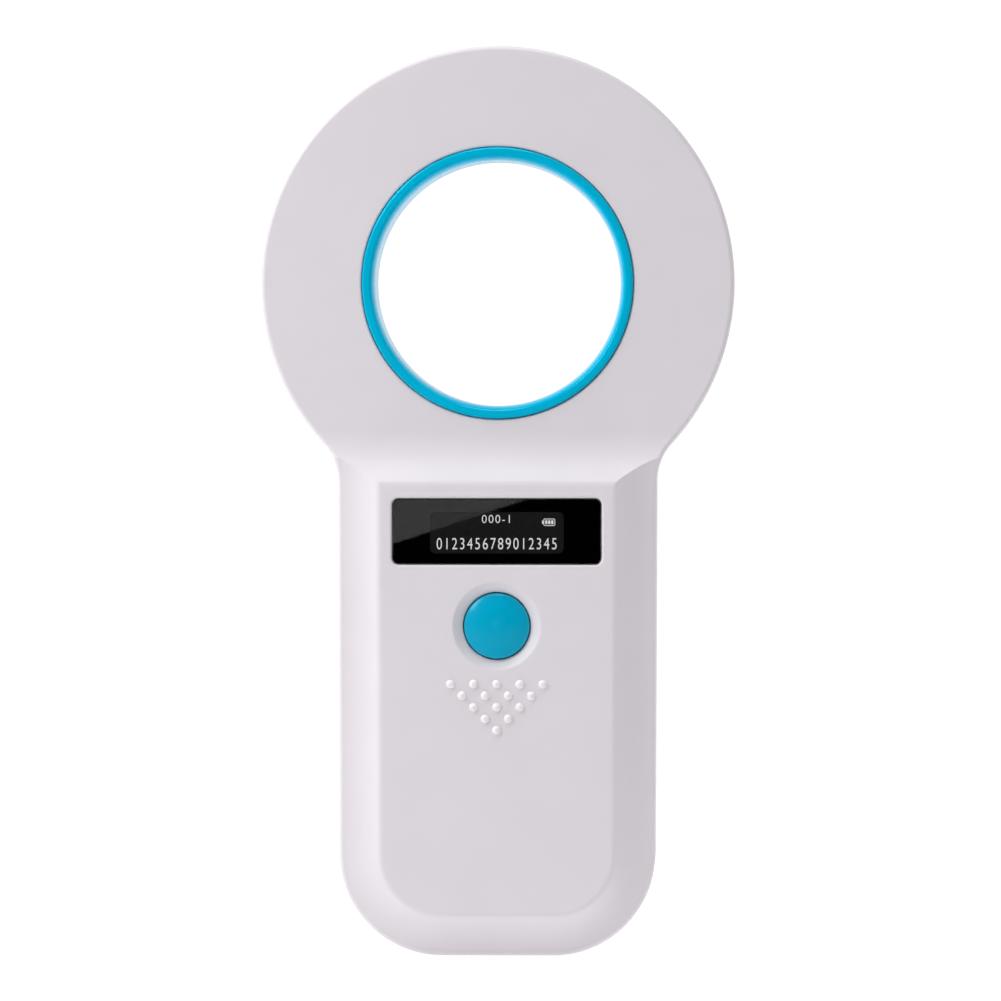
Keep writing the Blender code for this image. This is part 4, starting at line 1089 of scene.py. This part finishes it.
SHELL = (0.735, 0.695, 0.735)
SHELL_WEAR = (0.82, 0.79, 0.82)
# The button's blue is the ring's blue darkened: painted shade on the same plastic
BUTTON_BLUE_PAINTED_SHADE = (0.0004, 0.375, 0.585)
BRIGHT_BLUE = (0.0004, 0.44, 0.675)
BLACK_RUBBER = (0.02, 0.02, 0.021)
DARK_GLASS = (0.004, 0.004, 0.0044)
# Faint emission of the unlit screen: painted light, standing in for the studio light that its dark
# grey face reflects
SCREEN_PAINTED_GLOW = (0.012, 0.012, 0.0122, 1.0)
AMBER = (0.42, 0.2, 0.04)
AMBER_TAPE = (0.62, 0.33, 0.05)
BOARD_GREEN = (0.02, 0.17, 0.07)
EPOXY = (0.024, 0.024, 0.026)
STEEL = (0.62, 0.62, 0.63)
COPPER = (0.72, 0.3, 0.13)
FOIL = (0.62, 0.63, 0.65)
FOAM = (0.78, 0.77, 0.74)
CREAM = (0.78, 0.74, 0.64)
SLEEVE_RED = (0.58, 0.02, 0.02)
SLEEVE_BLACK = (0.02, 0.02, 0.02)
LACQUER_RED = (0.42, 0.05, 0.03)
LABEL_GREY = (0.72, 0.73, 0.75)
CLEAR = (0.001, 0.001, 0.001)
PRINT = (0.0002, 0.0002, 0.0002)
# The dots' paler colour is a painted highlight, for the light that the domes catch
DOT_PAINTED_HIGHLIGHT = (0.865, 0.85, 0.865)


def gloss_plastic(name, colour, wear, specular, tint):
    """The glossy coloured plastic of the ring and the button."""
    return finish(
        name, colour, 0.18, mottle=0.03, patch=6.0, spread=0.04, grain=0.3, bump=0.004,
        wear=wear, wear_reach=0.2, shader={"Specular IOR Level": specular, "Specular Tint": tint},
    )


def wire_sleeve(name, colour, mottle):
    return finish(name, colour, 0.42, mottle=mottle, patch=2.0, grain=0.2, bump=0.01)


# One finish for each material slot in the record, and those of the button, print and dots
FINISHES = {
    "shell": finish(
        "moulded_shell", SHELL, 0.5, mottle=0.012, patch=14.0, spread=0.05, grain=0.22, bump=0.012,
        wear=SHELL_WEAR, wear_reach=0.22, shader={"Specular IOR Level": 0.4},
    ),
    "trim": gloss_plastic(
        "blue_gloss", BRIGHT_BLUE, (0.02, 0.56, 0.8), 0.45, (0.08, 0.75, 1.0, 1.0)
    ),
    # The button is the ring's plastic; its darker blue and darker edge colour are painted shade
    "button": gloss_plastic(
        "blue_button_painted_shade", BUTTON_BLUE_PAINTED_SHADE, (0.02, 0.5, 0.72), 0.5, (0.6, 0.9, 1.0, 1.0)
    ),
    "gasket": finish("black_rubber", BLACK_RUBBER, 0.8, mottle=0.15, grain=0.12, bump=0.02),
    # The unlit screen glows faintly: painted light for the grey that its dark face shows under the
    # studio light
    "oled": finish(
        "dark_glass_painted_glow", DARK_GLASS, 0.3, mottle=0.06, patch=4.0, grain=0.6, bump=0.001,
        shader={"Specular IOR Level": 0.1, "Emission Color": SCREEN_PAINTED_GLOW, "Emission Strength": 1.0},
    ),
    "flex": finish("amber_film", AMBER, 0.35, mottle=0.1, patch=1.5, grain=0.4, bump=0.01),
    "board": finish("green_board", BOARD_GREEN, 0.38, mottle=0.1, pattern=traces, bump=0.03),
    "chip": finish(
        "chip_epoxy", EPOXY, 0.55, mottle=0.15, patch=2.0, grain=0.1, bump=0.012,
        wear=(0.07, 0.07, 0.07), wear_reach=0.12,
    ),
    "steel": finish(
        "plated_steel", STEEL, 0.3, 1.0, mottle=0.06, patch=3.0, spread=0.08,
        stretch=(1.0, 1.0, 8.0), grain=0.5, bump=0.004, wear=(0.8, 0.8, 0.8), wear_reach=0.15,
    ),
    "copper": finish("enamelled_copper", COPPER, 0.32, 1.0, pattern=windings, bump=0.06),
    "tape": finish(
        "amber_tape", AMBER_TAPE, 0.3, mottle=0.08, patch=2.0, grain=0.5, bump=0.02,
        shader={"Coat Weight": 0.4},
    ),
    "cell": finish("pouch_foil", FOIL, 0.33, 1.0, mottle=0.05, pattern=creases, bump=0.12),
    "foam": finish("open_foam", FOAM, 0.95, pattern=foam_pores, bump=0.15),
    "connector": finish("cream_nylon", CREAM, 0.5, grain=0.15, bump=0.01, wear=(0.86, 0.83, 0.75)),
    "wire_red": wire_sleeve("red_sleeve", SLEEVE_RED, 0.08),
    "wire_black": wire_sleeve("black_sleeve", SLEEVE_BLACK, 0.2),
    "film": finish("red_lacquer", LACQUER_RED, 0.3, mottle=0.08, patch=2.0, grain=0.4, bump=0.02),
    "label": finish(
        "label_film", LABEL_GREY, 0.55, mottle=0.02, patch=5.0, grain=0.08, bump=0.006,
        wear=(0.5, 0.5, 0.52), wear_reach=0.12,
    ),
    # Thin clear plate: mostly its reflection shows
    "lens": finish(
        "smoked_plate", CLEAR, 0.008, mottle=0.02, patch=8.0, spread=0.006, grain=3.0,
        bump=0.0001, shader={"Alpha": 0.23},
    ),
    # Glossy back print, where the display's reflections mostly come from
    "print": finish(
        "printed_black", PRINT, 0.01, mottle=0.2, patch=3.0, spread=0.008, grain=0.4,
        bump=0.0001, shader={"Specular IOR Level": 0.44},
    ),
    # Smoother than the shell that they stand on, and paler: a painted highlight for the light that the
    # domes catch
    "dots": finish(
        "polished_dots_painted_highlight", DOT_PAINTED_HIGHLIGHT, 0.35, mottle=0.01, patch=3.0, spread=0.05, grain=0.2, bump=0.004,
        shader={"Specular IOR Level": 0.9, "Coat Weight": 0.3, "Coat Roughness": 0.3},
    ),
}


def lit_pixels():
    """White screen pixels, slightly uneven."""
    made, tree, shader = new_surface("lit_pixels")
    place = node(tree, "TexCoord").outputs["Object"]
    glow = ranged(tree, noise(tree, place, 0.12, 1.0), 0.3, 0.7, 0.0, 1.0)
    colour = mixed(tree, glow, (0.72, 0.76, 0.8), (1.0, 1.0, 1.0))
    tree.links.new(colour, shader.inputs["Emission Color"])
    adjust(shader, {"Emission Strength": 1.3, "Base Color": (0.1, 0.1, 0.1, 1.0), "Roughness": 0.6})
    return made


# ---- assembly


def dress(obj, material, stands_for=(), body="root", second=None):
    """Gives a piece its materials and body, and hides the CAD nodes it stands for."""
    for surface in (material, second):
        if surface and surface.name not in obj.data.materials:
            obj.data.materials.append(surface)
    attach(obj, body)
    if stands_for:
        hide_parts(*stands_for)


def dress_cad_nodes():
    """Every CAD node takes the finish of its slot in the record."""
    slots = {part["node"]: part["material_slot"] for part in frame["record"]["subparts"]}
    for name, obj in frame["nodes"].items():
        material = FINISHES[slots[name]]
        for index in range(len(obj.data.materials)):
            obj.data.materials[index] = material
        if not obj.data.materials:
            obj.data.materials.append(material)


def screws():
    mesh = cross_screw_mesh()
    for k, (x, z) in enumerate(HOUSING_SCREWS):
        obj = linked(f"cross_screw_{k + 1}", mesh)
        obj.location = Vector((x, SCREW_SEAT + 0.1, z)) * MM
        obj.modifiers.new("even_shading", "WEIGHTED_NORMAL").keep_sharp = True
        dress(obj, FINISHES["steel"], (f"housing_screw_{k + 1}",))


def build_object():
    dress_cad_nodes()
    shell = FINISHES["shell"]
    dress(front_shell(), shell, ("front_housing",), second=FINISHES["dots"])
    dress(rear_shell(), shell, ("rear_housing",))
    dress(blue_ring(), FINISHES["trim"], ("ring_trim",))
    dress(button_cap(), FINISHES["button"], ("scan_button",), "button")
    black = FINISHES["print"]
    dress(lens_plate(), FINISHES["lens"], ("display_lens",), second=black)
    dress(lens_mask(), black)
    dress(screen_glass(), FINISHES["oled"])
    lit = lit_pixels()
    dress(screen_text("figures_lower", *LOWER_FIGURES), lit)
    dress(screen_text("figures_upper", *UPPER_FIGURES), lit)
    dress(battery_mark(), lit)
    screws()


# ---- studio

AZIMUTH = 1.7
ELEVATION = 0.6
LENS_MM = 250.0
SENSOR = 36.0
FIELD = 182.8  # width of the view at the object, millimetres
AIM = (0.3, 0.0, 82.45)
CLIP = (0.05, 20.0)  # metres

# Studio, in millimetres
LIT_AT = (0.0, 0.0, 80.0)
KEY_AT = (-390.0, -264.0, 420.0)
KEY_SIZE = (265.0, 265.0)
OVERHEAD_AT = (0.0, -200.0, 900.0)
OVERHEAD_SIZE = (400.0, 400.0)
GLARE_LINE = ((-18.83, 74.75), (6.13, 83.03))  # on the display plate, x and z
GLARE_AHEAD = 600.0
GLARE_SIZE = (90.0, 36.0)
FLOOR_R = 600.0

# Radiance of the light from each side
LEFT = 1.255
RIGHT = 0.9
BACK = 0.9
KEY = 7.7
OVERHEAD = 6.6
GLARE = 1.4
FLOOR_GLOW = 0.71
WHITE = (1.0, 1.0, 1.0, 1.0)
SEEN_WHITE = 1.05
DIM_FRONT = (-0.97, -0.1)  # the Y of a direction between which the surround's light dies away
DIM_POWER = 1.5


def studio_floor():
    """Round white table top."""
    bm = bmesh.new()
    bmesh.ops.create_circle(bm, cap_ends=True, segments=ROUND_SEGMENTS, radius=FLOOR_R)
    floor = to_mesh_object("floor", bm)
    made, tree, shader = new_surface("white_table")
    place = node(tree, "TexCoord").outputs["Object"]
    tint = mixed(tree, noise(tree, place, 40.0), (0.48, 0.48, 0.48), (0.52, 0.52, 0.52))
    tree.links.new(tint, shader.inputs["Base Color"])
    adjust(shader, {"Roughness": 0.9, "Specular IOR Level": 0.0})
    adjust(shader, {"Emission Color": WHITE, "Emission Strength": FLOOR_GLOW})
    floor.data.materials.append(made)
    floor.visible_glossy = False


def studio_world():
    """White surround to the eye; as light, a tent whose sides differ and whose front is dim."""
    world = bpy.data.worlds.new("studio")
    bpy.context.scene.world = world
    world.use_nodes = True
    tree = world.node_tree
    tree.nodes.clear()
    direction = node(tree, "TexCoord").outputs["Generated"]
    parts = node(tree, "SeparateXYZ", {0: direction})
    level = None
    for axis, sign, strength in (("X", -1.0, LEFT), ("X", 1.0, RIGHT), ("Y", 1.0, BACK)):
        lobe = ranged(tree, parts.outputs[axis], 0.0, sign, 0.0, strength)
        if level is None:
            level = lobe
        else:
            level = node(tree, "Math", {0: level, 1: lobe}, operation="ADD").outputs[0]
    side = ranged(tree, parts.outputs["Y"], *DIM_FRONT, 0.0, 1.0)
    side = node(tree, "Math", {0: side, 1: DIM_POWER}, operation="POWER").outputs[0]
    level = node(tree, "Math", {0: level, 1: side}, operation="MULTIPLY").outputs[0]
    light = node(tree, "Background", {"Color": WHITE, "Strength": level})
    seen = node(tree, "Background", {"Color": WHITE, "Strength": SEEN_WHITE})
    camera_ray = node(tree, "LightPath").outputs["Is Camera Ray"]
    both = node(tree, "MixShader", {0: camera_ray, 1: light.outputs[0], 2: seen.outputs[0]})
    output = node(tree, "OutputWorld")
    tree.links.new(both.outputs[0], output.inputs["Surface"])


def soft_light(name, place, aim, size, radiance):
    """Soft box at place, turned by the aim quaternion; size is its width and height."""
    data = bpy.data.lights.new(name, "AREA")
    data.shape = "RECTANGLE"
    data.size = size[0] * MM
    data.size_y = size[1] * MM
    data.energy = radiance * math.pi * size[0] * size[1] * MM**2
    light = linked(name, data)
    light.matrix_world = Matrix.Translation(Vector(place) * MM) @ aim.to_matrix().to_4x4()
    light.visible_camera = False
    return light


def facing(place, target):
    return (Vector(target) - Vector(place)).to_track_quat("-Z", "Y")


def glare_light():
    """Soft box whose lower edge is mirrored across the display as a slanting line."""
    eye = camera_place()
    grow = 1.0 + GLARE_AHEAD / (LENS_SPAN[0] - eye.y)
    corners = []
    for x, z in GLARE_LINE:
        corners.append(Vector((eye.x + (x - eye.x) * grow, eye.z + (z - eye.z) * grow)))
    along = (corners[1] - corners[0]).normalized()
    across = Vector((-along.y, along.x))
    centre = (corners[0] + corners[1]) / 2.0 + across * GLARE_SIZE[1] / 2.0
    upright = Matrix.Rotation(math.radians(90.0), 4, "X")
    slant = Matrix.Rotation(-math.atan2(along.y, along.x), 4, "Y")
    place = (centre.x, LENS_SPAN[0] - GLARE_AHEAD, centre.y)
    aim = (slant @ upright).to_quaternion()
    box = soft_light("glare", place, aim, GLARE_SIZE, GLARE)
    box.visible_diffuse = False


def camera_place():
    """Where the camera stands, in millimetres."""
    turn = math.radians(AZIMUTH)
    lift = math.radians(ELEVATION)
    back = Vector((math.sin(turn) * math.cos(lift), -math.cos(turn) * math.cos(lift), math.sin(lift)))
    return Vector(AIM) + back * (LENS_MM * FIELD / SENSOR)


def studio_camera():
    data = bpy.data.cameras.new("camera")
    data.lens = LENS_MM
    data.sensor_width = SENSOR
    camera = linked("camera", data)
    place = camera_place()
    camera.rotation_mode = "QUATERNION"
    camera.location = place * MM
    camera.rotation_quaternion = facing(place, AIM)
    data.clip_start, data.clip_end = CLIP
    bpy.context.scene.camera = camera


def studio_lights():
    soft_light("key", KEY_AT, facing(KEY_AT, LIT_AT), KEY_SIZE, KEY)
    soft_light("overhead", OVERHEAD_AT, facing(OVERHEAD_AT, LIT_AT), OVERHEAD_SIZE, OVERHEAD)
    glare_light()


build_object()
studio_floor()
studio_world()
studio_lights()
studio_camera()
bpy.context.scene.view_settings.view_transform = "Standard"
